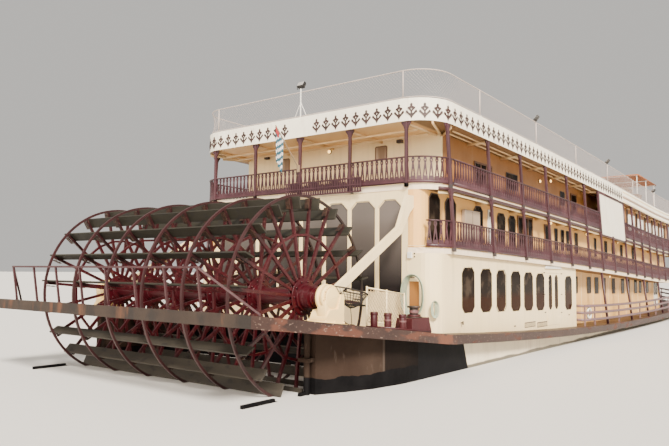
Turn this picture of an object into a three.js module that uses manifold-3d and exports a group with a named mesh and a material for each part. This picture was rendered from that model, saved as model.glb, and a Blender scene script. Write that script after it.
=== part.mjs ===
// A three-deck stern-wheel river steamer, as a half-size model with turning wheel, rudders and doors.
// Sizes are those of the full-size boat in metres. The last lines bring them to the model's millimetres.
// x is to starboard, y is forward from the line of the stern posts, z is up from the flat bottom.
import * as THREE from "three";
import { mergeVertices } from "three/addons/utils/BufferGeometryUtils.js";
import Module from "manifold-3d";

const wasm = await Module();
wasm.setup();

// Scale and clearances
const MODEL_SCALE = 0.5;
const GAP = 0.0008; // between pieces that touch, 0.4 mm on the model
const MIDSHIPS = 23.5; // from the stern post line to the middle of the length

// Length and breadth
const AFT_END = -10;
const BOW_END = 57;
const GUARD_HALF = 7.4;
const GUARD_THICK = 0.35;
const HULL_HALF = 6.8;
const HULL_AFT = -1.4;
const HULL_FORE = 56.3;
const DECK_AFT = -1.9;

// Deck levels at the stern post line
const DECK_2 = 5.92;
const DECK_3 = 8.39;
const ROOF_UNDER = 10.83;
const ROOF_TOP = 11.72;
const DECK_THICK = 0.22;
const RAIL_HIGH = 1.07;
const FENCE_HIGH = 1.06;

// Upper deck plan
const POST_LINE = 6.908; // at deck 2
const TUMBLEHOME = 0.0568;
const CORNER_RADIUS = 1.45;
const POST_HALF = 0.06;
const PANEL_HALF = 0.025;
const UPPER_FORE = 46;
const FORE_RADIUS = 2.4;

// Houses
const WALL = 0.1;
const STERN_WALL_Y = 0.13;
const STERN_WALL_HALF = 5.48;
const HOUSE_1 = { x: 6.65, radius: 0.6, end: 16.1 };
const CABIN_1 = { x: 5.65, end: 42 };
const HOUSE_2 = { x: 6.0, radius: 0.45, end: 43 };
const HOUSE_3 = { x: 5.6, aft: 2.5, jog: 25.6, foreX: 6.2, end: 43 };
const SIGN = { from: 20.9, to: 26.7 };

// Paddle wheel
const WHEEL = { y: -5.5, z: 4.15, radius: 3.3, rim: 0.07, spokes: 20, firstAngle: 12.5 };
const FRAME_X = [-4.95, -2.97, -0.99, 0.99, 2.97, 4.95];
const FRAME_THICK = 0.08;
const OUTER_RIM = 0.1;
const SPOKE_WIDE = 0.1;
const HUB_RADIUS = 0.55;
const INNER_RING = 2.0;
const SHAFT_RADIUS = 0.27;
const HUB_BOSS = { radius: 0.38, from: 5.0, to: 5.46 };
const JOURNAL_RADIUS = 0.14;
const SLEEVE_RADIUS = 0.25;
const JOURNAL = { from: 5.74, to: 6.08 };
const FLOAT = { inner: 2.8, half: 5.3, thick: 0.06 };
const BEARING = { from: 5.8, to: 6.2, radius: 0.36, collar: 0.43, collarTo: 6.1, bore: 6.12 };
const PEDESTAL = { from: 5.56, to: 6.25 };
const WELL_HALF = 5.42;

// Rudders
const RUDDER = { x: 5.58, y: -6.0, stock: 0.1, blade: 2.75, low: 0.16, top: 1.3 };
// Notch that keeps the turned blade under the wheel. Columns: distance aft of the stock, height
const RUDDER_NOTCH = [
  [0.35, 1.3],
  [0.38, 0.92],
  [0.5, 0.92],
  [1.45, 1.24],
  [1.45, 1.3],
];

const STATIONS = [-10, -2, 0, 4, 8, 12, 16, 20, 24, 28, 32, 36, 40, 43, 46, 49, 52, 54, 56, 57];

const colours = {
  cream: [0xf0deb6, 0.55, 0],
  creamRoof: [0xe9dcc0, 0.6, 0],
  maroon: [0x5b2438, 0.5, 0],
  wheelRed: [0x6f1a24, 0.5, 0.1],
  floatWood: [0x4b4735, 0.8, 0],
  tar: [0x3b3632, 0.7, 0],
  deckGrey: [0x8b8378, 0.8, 0],
  guardRed: [0x6d4038, 0.75, 0],
  white: [0xf2efe8, 0.5, 0],
  iron: [0x3a3a3c, 0.5, 0.6],
  canvas: [0xa65a23, 0.8, 0],
  cloth: [0x6f86b4, 0.9, 0],
};

function paint(name) {
  const [color, roughness, metalness] = colours[name];
  return new THREE.MeshStandardMaterial({ color, roughness, metalness });
}

// Sheer lines, straight between the stations
function straightBetweenStations(curve) {
  return (y) => {
    const i = Math.max(
      0,
      STATIONS.findLastIndex((s, k) => s <= y && k < STATIONS.length - 1),
    );
    const t = (y - STATIONS[i]) / (STATIONS[i + 1] - STATIONS[i]);
    return THREE.MathUtils.lerp(curve(STATIONS[i]), curve(STATIONS[i + 1]), t);
  };
}

const guardTop = straightBetweenStations((y) =>
  y < 0 ? 2.715 - 0.1165 * y : 1.839 + 0.001042 * (y - 29) ** 2,
);

const sheer = straightBetweenStations((y) => {
  const fall = (v) => -0.0227 * v - 0.0004 * v * v;
  const past = Math.min(Math.max(y - 34, 0), 10);
  return fall(Math.min(y, 34)) - 0.0499 * (past - (past * past) / 20);
});

const level = (height) => (y) => height + sheer(y);
const above = (line, rise) => (y) => line(y) + rise;
const stationsFrom = (y0, y1) => [y0, ...STATIONS.filter((s) => s > y0 + 0.01 && s < y1 - 0.01), y1];

// Solids
function toSolid(geometry) {
  const bare = geometry.clone();
  bare.deleteAttribute("normal");
  bare.deleteAttribute("uv");
  const merged = mergeVertices(bare, 1e-5);
  const made = new wasm.Manifold(
    new wasm.Mesh({
      numProp: 3,
      vertProperties: new Float32Array(merged.attributes.position.array),
      triVerts: new Uint32Array(merged.index.array),
    }),
  );
  if (made.volume() >= 0) return made;
  const turned = merged.index.array.slice();
  for (let i = 0; i < turned.length; i += 3) [turned[i + 1], turned[i + 2]] = [turned[i + 2], turned[i + 1]];
  merged.setIndex(new THREE.BufferAttribute(turned, 1));
  return toSolid(merged);
}

const join = (solids) => solids.reduce((a, b) => a.add(b));

function fromSolid(solid) {
  const mesh = solid.asOriginal().getMesh();
  const positions = new Float32Array(mesh.numVert * 3);
  for (let i = 0; i < mesh.numVert; i++) {
    positions.set(mesh.vertProperties.subarray(i * mesh.numProp, i * mesh.numProp + 3), i * 3);
  }
  const geometry = new THREE.BufferGeometry();
  geometry.setAttribute("position", new THREE.BufferAttribute(positions, 3));
  geometry.setIndex(new THREE.BufferAttribute(new Uint32Array(mesh.triVerts), 1));
  geometry.computeVertexNormals();
  return geometry;
}

// A body through rings of points, all with the same count. Open rings get end caps.
function loft(rings, closed = false) {
  const n = rings[0].length;
  const positions = rings.flat().flatMap(([x, y, z]) => [x, y, z]);
  const index = [];
  const last = closed ? rings.length : rings.length - 1;
  for (let i = 0; i < last; i++) {
    const next = (i + 1) % rings.length;
    for (let k = 0; k < n; k++) {
      const a = i * n + k;
      const b = i * n + ((k + 1) % n);
      const c = next * n + k;
      const d = next * n + ((k + 1) % n);
      index.push(a, b, d, a, d, c);
    }
  }
  if (!closed) {
    const end = (rings.length - 1) * n;
    for (let k = 1; k < n - 1; k++) {
      index.push(0, k + 1, k);
      index.push(end, end + k, end + k + 1);
    }
  }
  const geometry = new THREE.BufferGeometry();
  geometry.setAttribute("position", new THREE.Float32BufferAttribute(positions, 3));
  geometry.setIndex(index);
  return toSolid(geometry);
}

function block(x0, x1, y0, y1, z0, z1) {
  const box = new THREE.BoxGeometry(x1 - x0, y1 - y0, z1 - z0);
  return toSolid(box.translate((x0 + x1) / 2, (y0 + y1) / 2, (z0 + z1) / 2));
}

// A deck plate across the whole breadth, cut along its length at the stations
function deckPlate(half, ys, under, top) {
  return loft(
    ys.map((y) => {
      const h = half(y);
      return [
        [-h, y, under(y)],
        [h, y, under(y)],
        [h, y, top(y)],
        [-h, y, top(y)],
      ];
    }),
  );
}

// An upright strip of even thickness that follows a line in plan
function ribbon(path, halfThick, low, high, closed = false) {
  const count = path.length;
  const side = (a, b) => {
    const d = Math.hypot(b[0] - a[0], b[1] - a[1]);
    return [-(b[1] - a[1]) / d, (b[0] - a[0]) / d];
  };
  const rings = path.map((p, i) => {
    const before = i > 0 || closed ? side(path[(i - 1 + count) % count], p) : null;
    const after = i < count - 1 || closed ? side(p, path[(i + 1) % count]) : null;
    const n0 = before ?? after;
    const n1 = after ?? before;
    const mitre = [n0[0] + n1[0], n0[1] + n1[1]];
    const scale = (2 * halfThick) / (mitre[0] * n0[0] + mitre[1] * n0[1]) / 2;
    const inner = [p[0] + mitre[0] * scale, p[1] + mitre[1] * scale];
    const outer = [p[0] - mitre[0] * scale, p[1] - mitre[1] * scale];
    return [
      [...inner, low(inner[1])],
      [...outer, low(outer[1])],
      [...outer, high(outer[1])],
      [...inner, high(inner[1])],
    ];
  });
  return loft(rings, closed);
}

function arc(cx, cy, radius, fromDegrees, toDegrees, steps) {
  return Array.from({ length: steps + 1 }, (_, i) => {
    const a = THREE.MathUtils.degToRad(fromDegrees + ((toDegrees - fromDegrees) * i) / steps);
    return [cx + radius * Math.cos(a), cy + radius * Math.sin(a)];
  });
}

// A prism whose outline lies in the y, z plane and that runs along x
function prismX(outline, x0, x1) {
  const shape = new THREE.Shape(outline.map(([y, z]) => new THREE.Vector2(y, z)));
  const geometry = new THREE.ExtrudeGeometry(shape, { depth: x1 - x0, bevelEnabled: false });
  geometry.applyMatrix4(new THREE.Matrix4().makeBasis(Y_AXIS, Z_AXIS, X_AXIS));
  return toSolid(geometry.translate(x0, 0, 0));
}

// The same with the outline in the x, z plane, running along y
function prismY(outline, y0, y1) {
  const shape = new THREE.Shape(outline.map(([x, z]) => new THREE.Vector2(x, z)));
  const geometry = new THREE.ExtrudeGeometry(shape, { depth: y1 - y0, bevelEnabled: false });
  geometry.applyMatrix4(new THREE.Matrix4().makeBasis(X_AXIS, Z_AXIS, Y_AXIS.clone().negate()));
  return toSolid(geometry.translate(0, y1, 0));
}

const X_AXIS = new THREE.Vector3(1, 0, 0);
const Y_AXIS = new THREE.Vector3(0, 1, 0);
const Z_AXIS = new THREE.Vector3(0, 0, 1);

function windowOutline(from, to, sill, head, corner, footCorner = corner) {
  return [
    [from + footCorner, sill],
    [to - footCorner, sill],
    [to, sill + footCorner],
    [to, head - corner],
    [to - corner, head],
    [from + corner, head],
    [from, head - corner],
    [from, sill + footCorner],
  ].filter((p, i, all) => i === 0 || Math.hypot(p[0] - all[i - 1][0], p[1] - all[i - 1][1]) > 1e-6);
}

function rod(radius, from, to, sides = 12) {
  const a = new THREE.Vector3(...from);
  const b = new THREE.Vector3(...to);
  const geometry = new THREE.CylinderGeometry(radius, radius, a.distanceTo(b), sides);
  const turn = new THREE.Quaternion().setFromUnitVectors(Y_AXIS, b.clone().sub(a).normalize());
  geometry.applyQuaternion(turn);
  const middle = a.add(b).multiplyScalar(0.5);
  return toSolid(geometry.translate(middle.x, middle.y, middle.z));
}

// A square bar between two points, upright in section
function bar(half, from, to) {
  const along = new THREE.Vector3(...to).sub(new THREE.Vector3(...from)).normalize();
  const across = Math.abs(along.z) > 0.9 ? X_AXIS.clone() : new THREE.Vector3().crossVectors(along, Z_AXIS).normalize();
  const up = new THREE.Vector3().crossVectors(across, along).normalize();
  const side = new THREE.Vector3().crossVectors(along, up).normalize();
  const ring = (p) =>
    [
      [-1, -1],
      [1, -1],
      [1, 1],
      [-1, 1],
    ].map(([s, t]) => [
      p[0] + half * (s * side.x + t * up.x),
      p[1] + half * (s * side.y + t * up.y),
      p[2] + half * (s * side.z + t * up.z),
    ]);
  return loft([ring(from), ring(to)]);
}

const mirrored = (path) => path.map(([x, y]) => [-x, y]).reverse();
const mirrorSolid = (solid) => {
  const geometry = fromSolid(solid);
  geometry.scale(-1, 1, 1);
  return toSolid(geometry);
};

// The scene graph
const ship = new THREE.Group();
const wheel = new THREE.Group();
ship.add(wheel);

function add(name, solid, colour, parent = ship) {
  const mesh = new THREE.Mesh(fromSolid(solid), paint(colour));
  mesh.name = name;
  parent.add(mesh);
  return mesh;
}

function addPair(name, solid, colour) {
  add(name + "_starboard", solid, colour);
  add(name + "_port", mirrorSolid(solid), colour);
}

// Hull: flat bottom, hard chine, blunt raked bow
const bowShare = (y, from, to) => Math.min(Math.max((y - from) / (to - from), 0), 1);
const hullHalf = (y) => Math.max(HULL_HALF * (1 - bowShare(y, 38, HULL_FORE) ** 2.2), 0.3);
const hullFloor = (y) => 1.7 * bowShare(y, 44, HULL_FORE) ** 2;
const guardHalf = (y) => Math.max(GUARD_HALF * (1 - bowShare(y, 40, BOW_END) ** 2.4), 0.35);
const guardUnder = above(guardTop, -GUARD_THICK);
const CHINE = 0.45;

add(
  "hull",
  loft(
    [...stationsFrom(HULL_AFT, 54), 55.3, HULL_FORE].map((y) => {
      const h = hullHalf(y);
      const z = hullFloor(y);
      const foot = Math.max(h - 0.35, 0.15);
      return [
        [-foot, y, z],
        [foot, y, z],
        [h, y, z + CHINE * Math.min(1, h / 2)],
        [h, y, guardUnder(y) - GAP],
        [-h, y, guardUnder(y) - GAP],
        [-h, y, z + CHINE * Math.min(1, h / 2)],
      ];
    }),
  ),
  "cream",
);

// Sponsons carry the wheel bearings, one on each side of the wheel well.
// Columns: y, outer half-breadth
const SPONSON_PLAN = [
  [HULL_AFT - GAP, 6.8],
  [-2, 6.79],
  [-2.55, 6.77],
  [-3.84, 6.56],
  [-4.91, 6.2],
  [-5.85, 5.8],
];

function gudgeon(z, thick) {
  const { x, y, stock } = RUDDER;
  const plate = block(x - 0.2, x + 0.2, y - 0.2, y + 0.3, z, z + thick);
  return plate.subtract(rod(stock / Math.cos(Math.PI / 24) + GAP, [x, y, z - 0.1], [x, y, z + thick + 0.1], 24));
}

const sponson = loft(
  SPONSON_PLAN.map(([y, outer]) => [
    [WELL_HALF, y, 0],
    [outer - 0.25, y, 0],
    [outer, y, CHINE],
    [outer, y, guardUnder(y) - GAP],
    [WELL_HALF, y, guardUnder(y) - GAP],
  ]),
);
addPair("sponson", join([sponson, gudgeon(2.2, 0.12), gudgeon(0.04, 0.08)]), "tar");

// Main deck and the guards that run aft round the wheel
add(
  "main_deck",
  deckPlate(guardHalf, [...stationsFrom(DECK_AFT, 54), 55.3, 56.3, BOW_END], guardUnder, guardTop),
  "guardRed",
);

const armOuter = (y) => THREE.MathUtils.mapLinear(y, DECK_AFT, AFT_END, GUARD_HALF, 6.6);
const WALKWAY_FORE = -9.5;
addPair(
  "guard_arm",
  loft(
    [WALKWAY_FORE + GAP, -2, DECK_AFT - GAP].map((y) => [
      [WELL_HALF, y, guardUnder(y)],
      [armOuter(y), y, guardUnder(y)],
      [armOuter(y), y, guardTop(y)],
      [WELL_HALF, y, guardTop(y)],
    ]),
  ),
  "guardRed",
);
add("aft_walkway", deckPlate(armOuter, [AFT_END, WALKWAY_FORE], guardUnder, guardTop), "guardRed");

// Walls of the three decks
const deckUnder = (height) => above(level(height), -DECK_THICK - GAP);
const onDeck = (height) => above(level(height), GAP);
const onGuard = above(guardTop, GAP);

// Columns: from, to, along the side of the main deck saloon
const SALOON_WINDOWS = [
  [2.16, 3.28],
  [3.84, 4.94],
  [5.43, 6.45],
  [7.01, 8.12],
  [8.54, 9.68],
  [10.07, 11.23],
  [14.31, 15.43],
];
const SALOON_DOOR = { from: 11.6, to: 13.4, sill: 0.15, over: 0.62 };
const windowSill = (y) => DECK_2 - 2.466 + sheer(y);
const windowHead = (y) => DECK_2 - 0.686 + sheer(y);

function saloonWall() {
  const { x, radius, end } = HOUSE_1;
  const corner = arc(x - radius, STERN_WALL_Y + radius, radius, -90, 0, 6);
  const sides = stationsFrom(STERN_WALL_Y + radius, end)
    .slice(1)
    .map((y) => [x, y]);
  const path = [[STERN_WALL_HALF + GAP, STERN_WALL_Y], ...corner, ...sides, [CABIN_1.x + WALL, end]];
  let wall = ribbon(path, WALL / 2, onGuard, deckUnder(DECK_2));
  for (const [from, to] of SALOON_WINDOWS) {
    const y = (from + to) / 2;
    wall = wall.subtract(prismX(windowOutline(from, to, windowSill(y), windowHead(y), 0.22), x - 0.5, x + 0.5));
  }
  const { from, to, sill, over } = SALOON_DOOR;
  const head = DECK_2 - over + sheer(from);
  return wall.subtract(block(x - 0.5, x + 0.5, from, to, guardTop(from) + sill, head));
}
addPair("saloon_wall", saloonWall(), "cream");

function cabinWall() {
  const { x, end } = CABIN_1;
  const path = stationsFrom(HOUSE_1.end + WALL, end).map((y) => [x, y]);
  return ribbon(path, WALL / 2, onGuard, deckUnder(DECK_2));
}
addPair("promenade_wall", cabinWall(), "cream");

// Across the boat, from side to side
function crossWall(y, half, low, high) {
  return ribbon(
    [
      [-half, y],
      [half, y],
    ],
    WALL / 2,
    low,
    high,
  );
}
add("front_wall_1", crossWall(CABIN_1.end + WALL / 2 + GAP, CABIN_1.x, onGuard, deckUnder(DECK_2)), "cream");

// Stern wall with tall windows behind the wheel
// Columns: from, to
const STERN_WINDOWS = [
  [0.07, 1.23],
  [1.37, 2.57],
  [2.71, 3.94],
  [4.08, 5.2],
];
function sternWall() {
  let wall = crossWall(STERN_WALL_Y, STERN_WALL_HALF, onGuard, deckUnder(DECK_3));
  for (const side of [-1, 1]) {
    for (const pair of STERN_WINDOWS) {
      const [from, to] = pair.map((v) => v * side).sort((a, b) => a - b);
      wall = wall.subtract(prismY(windowOutline(from, to, 4.15, 7.83, 0.3, 0.02), -0.3, 0.6));
    }
  }
  return wall;
}
add("stern_wall", sternWall(), "cream");

function upperWall() {
  const { x, radius, end } = HOUSE_2;
  const corner = arc(x - radius, STERN_WALL_Y + radius, radius, -90, 0, 5);
  const sides = stationsFrom(STERN_WALL_Y + radius, end)
    .slice(1)
    .map((y) => [x, y]);
  const path = [[STERN_WALL_HALF + GAP, STERN_WALL_Y], ...corner, ...sides];
  return ribbon(path, WALL / 2, onDeck(DECK_2), deckUnder(DECK_3));
}
addPair("deck_2_wall", upperWall(), "cream");
add("front_wall_2", crossWall(HOUSE_2.end + WALL / 2 + GAP, HOUSE_2.x, onDeck(DECK_2), deckUnder(DECK_3)), "cream");

const roofUnder = above(level(ROOF_UNDER), -GAP);
function topWall() {
  const { x, aft, jog, foreX, end } = HOUSE_3;
  const path = [
    ...stationsFrom(aft + WALL / 2 + GAP, jog).map((y) => [x, y]),
    ...stationsFrom(jog, end).map((y) => [foreX, y]),
  ];
  return ribbon(path, WALL / 2, onDeck(DECK_3), roofUnder);
}
addPair("deck_3_wall", topWall(), "cream");
add("deck_3_aft_wall", crossWall(HOUSE_3.aft, HOUSE_3.x + WALL / 2, onDeck(DECK_3), roofUnder), "cream");
add("front_wall_3", crossWall(HOUSE_3.end + WALL / 2 + GAP, HOUSE_3.foreX, onDeck(DECK_3), roofUnder), "cream");

// Upper decks and roof share one plan with round corners
function planHalf(half, aft, radius) {
  return (y) => {
    const back = Math.max(radius - (y - aft), 0);
    const front = Math.max(FORE_RADIUS - (UPPER_FORE - y), 0);
    const cut = back > 0 ? radius - Math.sqrt(Math.max(radius ** 2 - back ** 2, 0)) : 0;
    const foreCut = front > 0 ? FORE_RADIUS - Math.sqrt(Math.max(FORE_RADIUS ** 2 - front ** 2, 0)) : 0;
    return half - cut - foreCut;
  };
}

function planStations(aft, radius) {
  const aftCorner = [0, 15, 30, 45, 60, 75].map((a) => aft + radius * (1 - Math.cos(THREE.MathUtils.degToRad(a))));
  const foreCorner = [75, 60, 45, 30, 15, 0].map(
    (a) => UPPER_FORE - FORE_RADIUS * (1 - Math.cos(THREE.MathUtils.degToRad(a))),
  );
  return [...aftCorner, ...stationsFrom(aft + radius, UPPER_FORE - FORE_RADIUS), ...foreCorner];
}

const edgeAt = (height) => POST_LINE - TUMBLEHOME * (height - DECK_2) - POST_HALF - GAP;
function upperDeck(height, under, top) {
  const half = edgeAt(height);
  const aft = POST_HALF + GAP;
  const radius = CORNER_RADIUS - POST_HALF;
  return deckPlate(planHalf(half, aft, radius), planStations(aft, radius), under, top);
}

const sternRecess = block(-STERN_WALL_HALF - GAP, STERN_WALL_HALF + GAP, -1, STERN_WALL_Y + WALL / 2 + GAP, 5, 7);
add(
  "deck_2",
  upperDeck(DECK_2, above(level(DECK_2), -DECK_THICK), level(DECK_2)).subtract(sternRecess),
  "deckGrey",
);
add("deck_3", upperDeck(DECK_3, above(level(DECK_3), -DECK_THICK), level(DECK_3)), "deckGrey");

const ROOF = { half: 6.72, aft: -0.12, radius: 1.5 };
add(
  "roof",
  deckPlate(
    planHalf(ROOF.half, ROOF.aft, ROOF.radius),
    planStations(ROOF.aft, ROOF.radius),
    level(ROOF_UNDER),
    level(ROOF_TOP),
  ),
  "creamRoof",
);

// Balustrades: posts outside the deck edges, with a panel of sawn boards between them
// Their feet and heads follow the sheer. The side posts lean in with the tumblehome.
function postBetween(xAt, y, low, high, half) {
  const ring = (line) =>
    [
      [-half, -half],
      [half, -half],
      [half, half],
      [-half, half],
    ].map(([dx, dy]) => {
      const z = line(y + dy);
      return [xAt(z) + dx, y + dy, z];
    });
  return loft([ring(low), ring(high)]);
}

const upright = (x, y, low, high, half = POST_HALF) => postBetween(() => x, y, low, high, half);
const leaningPost = (y, low, high) =>
  postBetween((z) => POST_LINE - TUMBLEHOME * (z - sheer(y) - DECK_2), y, low, high, POST_HALF);

function balustrade(path, height) {
  return ribbon(path, PANEL_HALF, above(level(height), -0.06), above(level(height), RAIL_HIGH));
}

// The side balustrade's line at a deck, leaning ignored over its own height
function sidePath(height, from, to) {
  const x = POST_LINE - TUMBLEHOME * (height + RAIL_HIGH / 2 - DECK_2);
  return stationsFrom(from, to).map((y) => [x, y]);
}

const CORNER_POST = 1.12;
const SIDE_TO = UPPER_FORE - FORE_RADIUS;
// y of the side posts: one at the corner, then one bay apart, then closer past the sign board
const SIDE_POSTS = [
  CORNER_POST,
  4.8,
  8.4,
  11.75,
  15.0,
  18.15,
  SIGN.from,
  ...Array.from({ length: 8 }, (_, i) => SIGN.to + (i * (SIDE_TO - SIGN.to)) / 7),
];

function balconyFrame() {
  const lowCorner = arc(POST_LINE - CORNER_RADIUS, CORNER_RADIUS, CORNER_RADIUS, -58, 0, 5).map(([x, y]) => [x, y]);
  const lowX = POST_LINE - TUMBLEHOME * (RAIL_HIGH / 2);
  const lowPath = [
    ...lowCorner.map(([x, y]) => [x - (POST_LINE - lowX), y]),
    ...stationsFrom(CORNER_RADIUS, SIDE_TO)
      .slice(1)
      .map((y) => [lowX, y]),
  ];
  const posts = SIDE_POSTS.map((y) => leaningPost(y, level(DECK_2 - 0.34), roofUnder));
  const signX = (z) => POST_LINE + POST_HALF - TUMBLEHOME * (z - DECK_2);
  const signRing = (y) => {
    const low = DECK_3 - 0.34;
    const high = ROOF_UNDER - 0.02;
    return [
      [signX(low) - 0.04, y, low + sheer(y)],
      [signX(low), y, low + sheer(y)],
      [signX(high), y, high + sheer(y)],
      [signX(high) - 0.04, y, high + sheer(y)],
    ];
  };
  const sign = loft(stationsFrom(SIGN.from, SIGN.to).map(signRing));
  return join([
    balustrade(lowPath, DECK_2),
    balustrade(sidePath(DECK_3, CORNER_POST, SIDE_TO), DECK_3),
    ...posts,
    sign,
  ]);
}
addPair("balcony_frame", balconyFrame(), "maroon");

// Posts at the stern, five across, with a balustrade that bends round as far as the corner posts
const BAY = 2.7256;
function cornerPath(height, steps) {
  const x = POST_LINE - TUMBLEHOME * (height + RAIL_HIGH / 2 - DECK_2);
  const whole = arc(x - CORNER_RADIUS, CORNER_RADIUS, CORNER_RADIUS, -90, 0, steps);
  const end = CORNER_POST - POST_HALF - 0.02;
  const past = whole.findIndex(([, y]) => y > end);
  const [before, after] = [whole[past - 1], whole[past]];
  const share = (end - before[1]) / (after[1] - before[1]);
  return [...whole.slice(0, past), [THREE.MathUtils.lerp(before[0], after[0], share), end]];
}

function aftBalustrade() {
  const corner = cornerPath(DECK_3, 6);
  const path = [...mirrored(corner), ...corner];
  const posts = [-2, -1, 0, 1, 2].map((i) => upright(i * BAY, 0, level(DECK_3 - 0.34), roofUnder));
  return join([balustrade(path, DECK_3), ...posts]);
}
add("aft_balustrade", aftBalustrade(), "maroon");

function foreBalustrade() {
  const y = UPPER_FORE - FORE_RADIUS + POST_HALF + GAP;
  const rails = [DECK_2, DECK_3].map((height) => {
    const x = POST_LINE - TUMBLEHOME * (height + RAIL_HIGH / 2 - DECK_2);
    const corner = arc(x - FORE_RADIUS, y, FORE_RADIUS, 2, 90, 7);
    return balustrade([...corner, ...mirrored(corner)], height);
  });
  const posts = [-2, -1, 0, 1, 2].map((i) =>
    upright(i * 2.1, y + FORE_RADIUS, level(DECK_2 - 0.34), roofUnder),
  );
  return join([...rails, ...posts]);
}
add("fore_balustrade", foreBalustrade(), "maroon");

// Promenade posts and open rails along the edge of the main deck, on to the bow
const PROMENADE_POSTS = [20.9, 26.7, 31.53, 36.36, 41.18];
function promenadeRail() {
  const edge = (y) => guardHalf(y) - 0.3;
  const ys = stationsFrom(HOUSE_1.end + 0.4, 55.3);
  const path = ys.map((y) => [edge(y), y]);
  const bars = [0.18, 0.6, 1.02].map((z) => ribbon(path, 0.025, above(guardTop, z), above(guardTop, z + 0.08)));
  const stanchions = [16.55, 23.4, 28.9, 33.8, 38.4, 44, 48, 52, 55.25].map((y) =>
    upright(edge(y), y, onGuard, above(guardTop, 1.09), 0.035),
  );
  const posts = PROMENADE_POSTS.map((y) => {
    const ring = (x, z) => [
      [x - POST_HALF, y - POST_HALF, z],
      [x + POST_HALF, y - POST_HALF, z],
      [x + POST_HALF, y + POST_HALF, z],
      [x - POST_HALF, y + POST_HALF, z],
    ];
    const top = level(DECK_2 - DECK_THICK)(y) - 0.01;
    return loft([ring(edge(y), guardTop(y) + 0.01), ring(edgeAt(DECK_2) - POST_HALF, top)]);
  });
  return join([...bars, ...stanchions, ...posts]);
}
addPair("promenade_rail", promenadeRail(), "maroon");

// Roof fence: posts and rails that carry wire mesh, with floodlights on some posts
function fence(path, postPlaces) {
  const low = level(ROOF_TOP);
  const rails = [0.05, FENCE_HIGH - 0.04].map((z) => ribbon(path, 0.02, above(low, z), above(low, z + 0.04)));
  const posts = postPlaces.map(([x, y]) => upright(x, y, above(low, GAP), above(low, FENCE_HIGH), 0.03));
  return [...rails, ...posts];
}

function floodlight(x, y, z, outX, outY) {
  const lamp = block(-0.18, 0.18, -0.06, 0.06, 0, 0.28);
  const arm = bar(0.025, [x, y, z - 0.05], [x + 0.12 * outX, y + 0.12 * outY, z + 0.3]);
  return [arm, lamp.translate([x + 0.16 * outX, y + 0.16 * outY, z + 0.2])];
}

const FENCE_X = 6.6;
const FENCE_SIDE_POSTS = [4.0, 10.5, 16.7, 23.1, 29.6, 36.2, 42.4];
const FENCE_LIGHTS = [10.5, 23.1, 36.2];
function sideFence() {
  const path = stationsFrom(1.5, 43.5).map((y) => [FENCE_X, y]);
  const posts = FENCE_SIDE_POSTS.map((y) => [FENCE_X, y]);
  const lights = FENCE_LIGHTS.flatMap((y) => floodlight(FENCE_X, y, level(ROOF_TOP + FENCE_HIGH)(y), 0, 1));
  return join([...fence(path, posts), ...lights]);
}
addPair("roof_fence", sideFence(), "white");

function aftFence() {
  const corner = arc(FENCE_X - 1.4, 1.4, 1.4, -90, -1, 6);
  const posts = [-5.2, -1.75, 1.75, 5.2].map((x) => [x, 0]);
  const mast = [
    bar(0.03, [0, 0, ROOF_TOP + 0.08], [0, 0, ROOF_TOP + FENCE_HIGH + 0.25]),
    ...floodlight(0, 0, ROOF_TOP + FENCE_HIGH + 0.1, 0, -0.2),
  ];
  return join([...fence([...mirrored(corner), ...corner], posts), ...mast]);
}
add("roof_fence_aft", aftFence(), "white");

// Wheelhouse on the fore end of the roof
const HOUSE_TOP = { x: 1.75, aft: 41.7, fore: 45, high: 2.15, sill: 1.0, head: 1.85 };
function wheelhouse() {
  const { x, aft, fore, high, sill, head } = HOUSE_TOP;
  const path = [
    [-x, aft],
    [x, aft],
    [x, 43],
    [x, fore],
    [-x, fore],
    [-x, 43],
  ];
  const base = level(ROOF_TOP)(fore);
  const floor = above(level(ROOF_TOP), GAP);
  let walls = ribbon(path, WALL / 2, floor, above(level(ROOF_TOP), high), true);
  for (const [from, to] of [
    [-1.55, -0.6],
    [-0.48, 0.48],
    [0.6, 1.55],
  ]) {
    walls = walls.subtract(prismY(windowOutline(from, to, base + sill, base + head, 0.08), aft - 0.5, fore + 0.5));
  }
  for (const [from, to] of [
    [aft + 0.25, aft + 1.5],
    [fore - 1.5, fore - 0.25],
  ]) {
    walls = walls.subtract(prismX(windowOutline(from, to, base + sill, base + head, 0.08), -x - 0.5, x + 0.5));
  }
  return walls;
}
add("wheelhouse", wheelhouse(), "cream");
const wheelhouseTop = above(level(ROOF_TOP), HOUSE_TOP.high + GAP);
add(
  "wheelhouse_roof",
  deckPlate(
    () => HOUSE_TOP.x + 0.3,
    [HOUSE_TOP.aft - 0.3, 43, HOUSE_TOP.fore + 0.4],
    wheelhouseTop,
    above(wheelhouseTop, 0.12),
  ),
  "white",
);

// Awning on posts over the fore part of the roof
const AWNING = { x: 5.9, from: 34.7, to: 41, high: 2.5 };
function awning() {
  const { x, from, to, high } = AWNING;
  const cover = deckPlate(() => x, stationsFrom(from, to), above(level(ROOF_TOP), high), above(level(ROOF_TOP), high + 0.06));
  const posts = [from + 0.15, (from + to) / 2, to - 0.15].flatMap((y) =>
    [-1, 1].map((s) => upright(s * (x - 0.15), y, level(ROOF_TOP + GAP), level(ROOF_TOP + high + 0.02), 0.04)),
  );
  return join([cover, ...posts]);
}
add("awning", awning(), "canvas");

// Engine: one plain block on the main deck inside the saloon
add("engine_block", block(-1.6, 1.6, 8.2, 12.6, guardTop(8.2) + GAP, 4.1), "iron");

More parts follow.
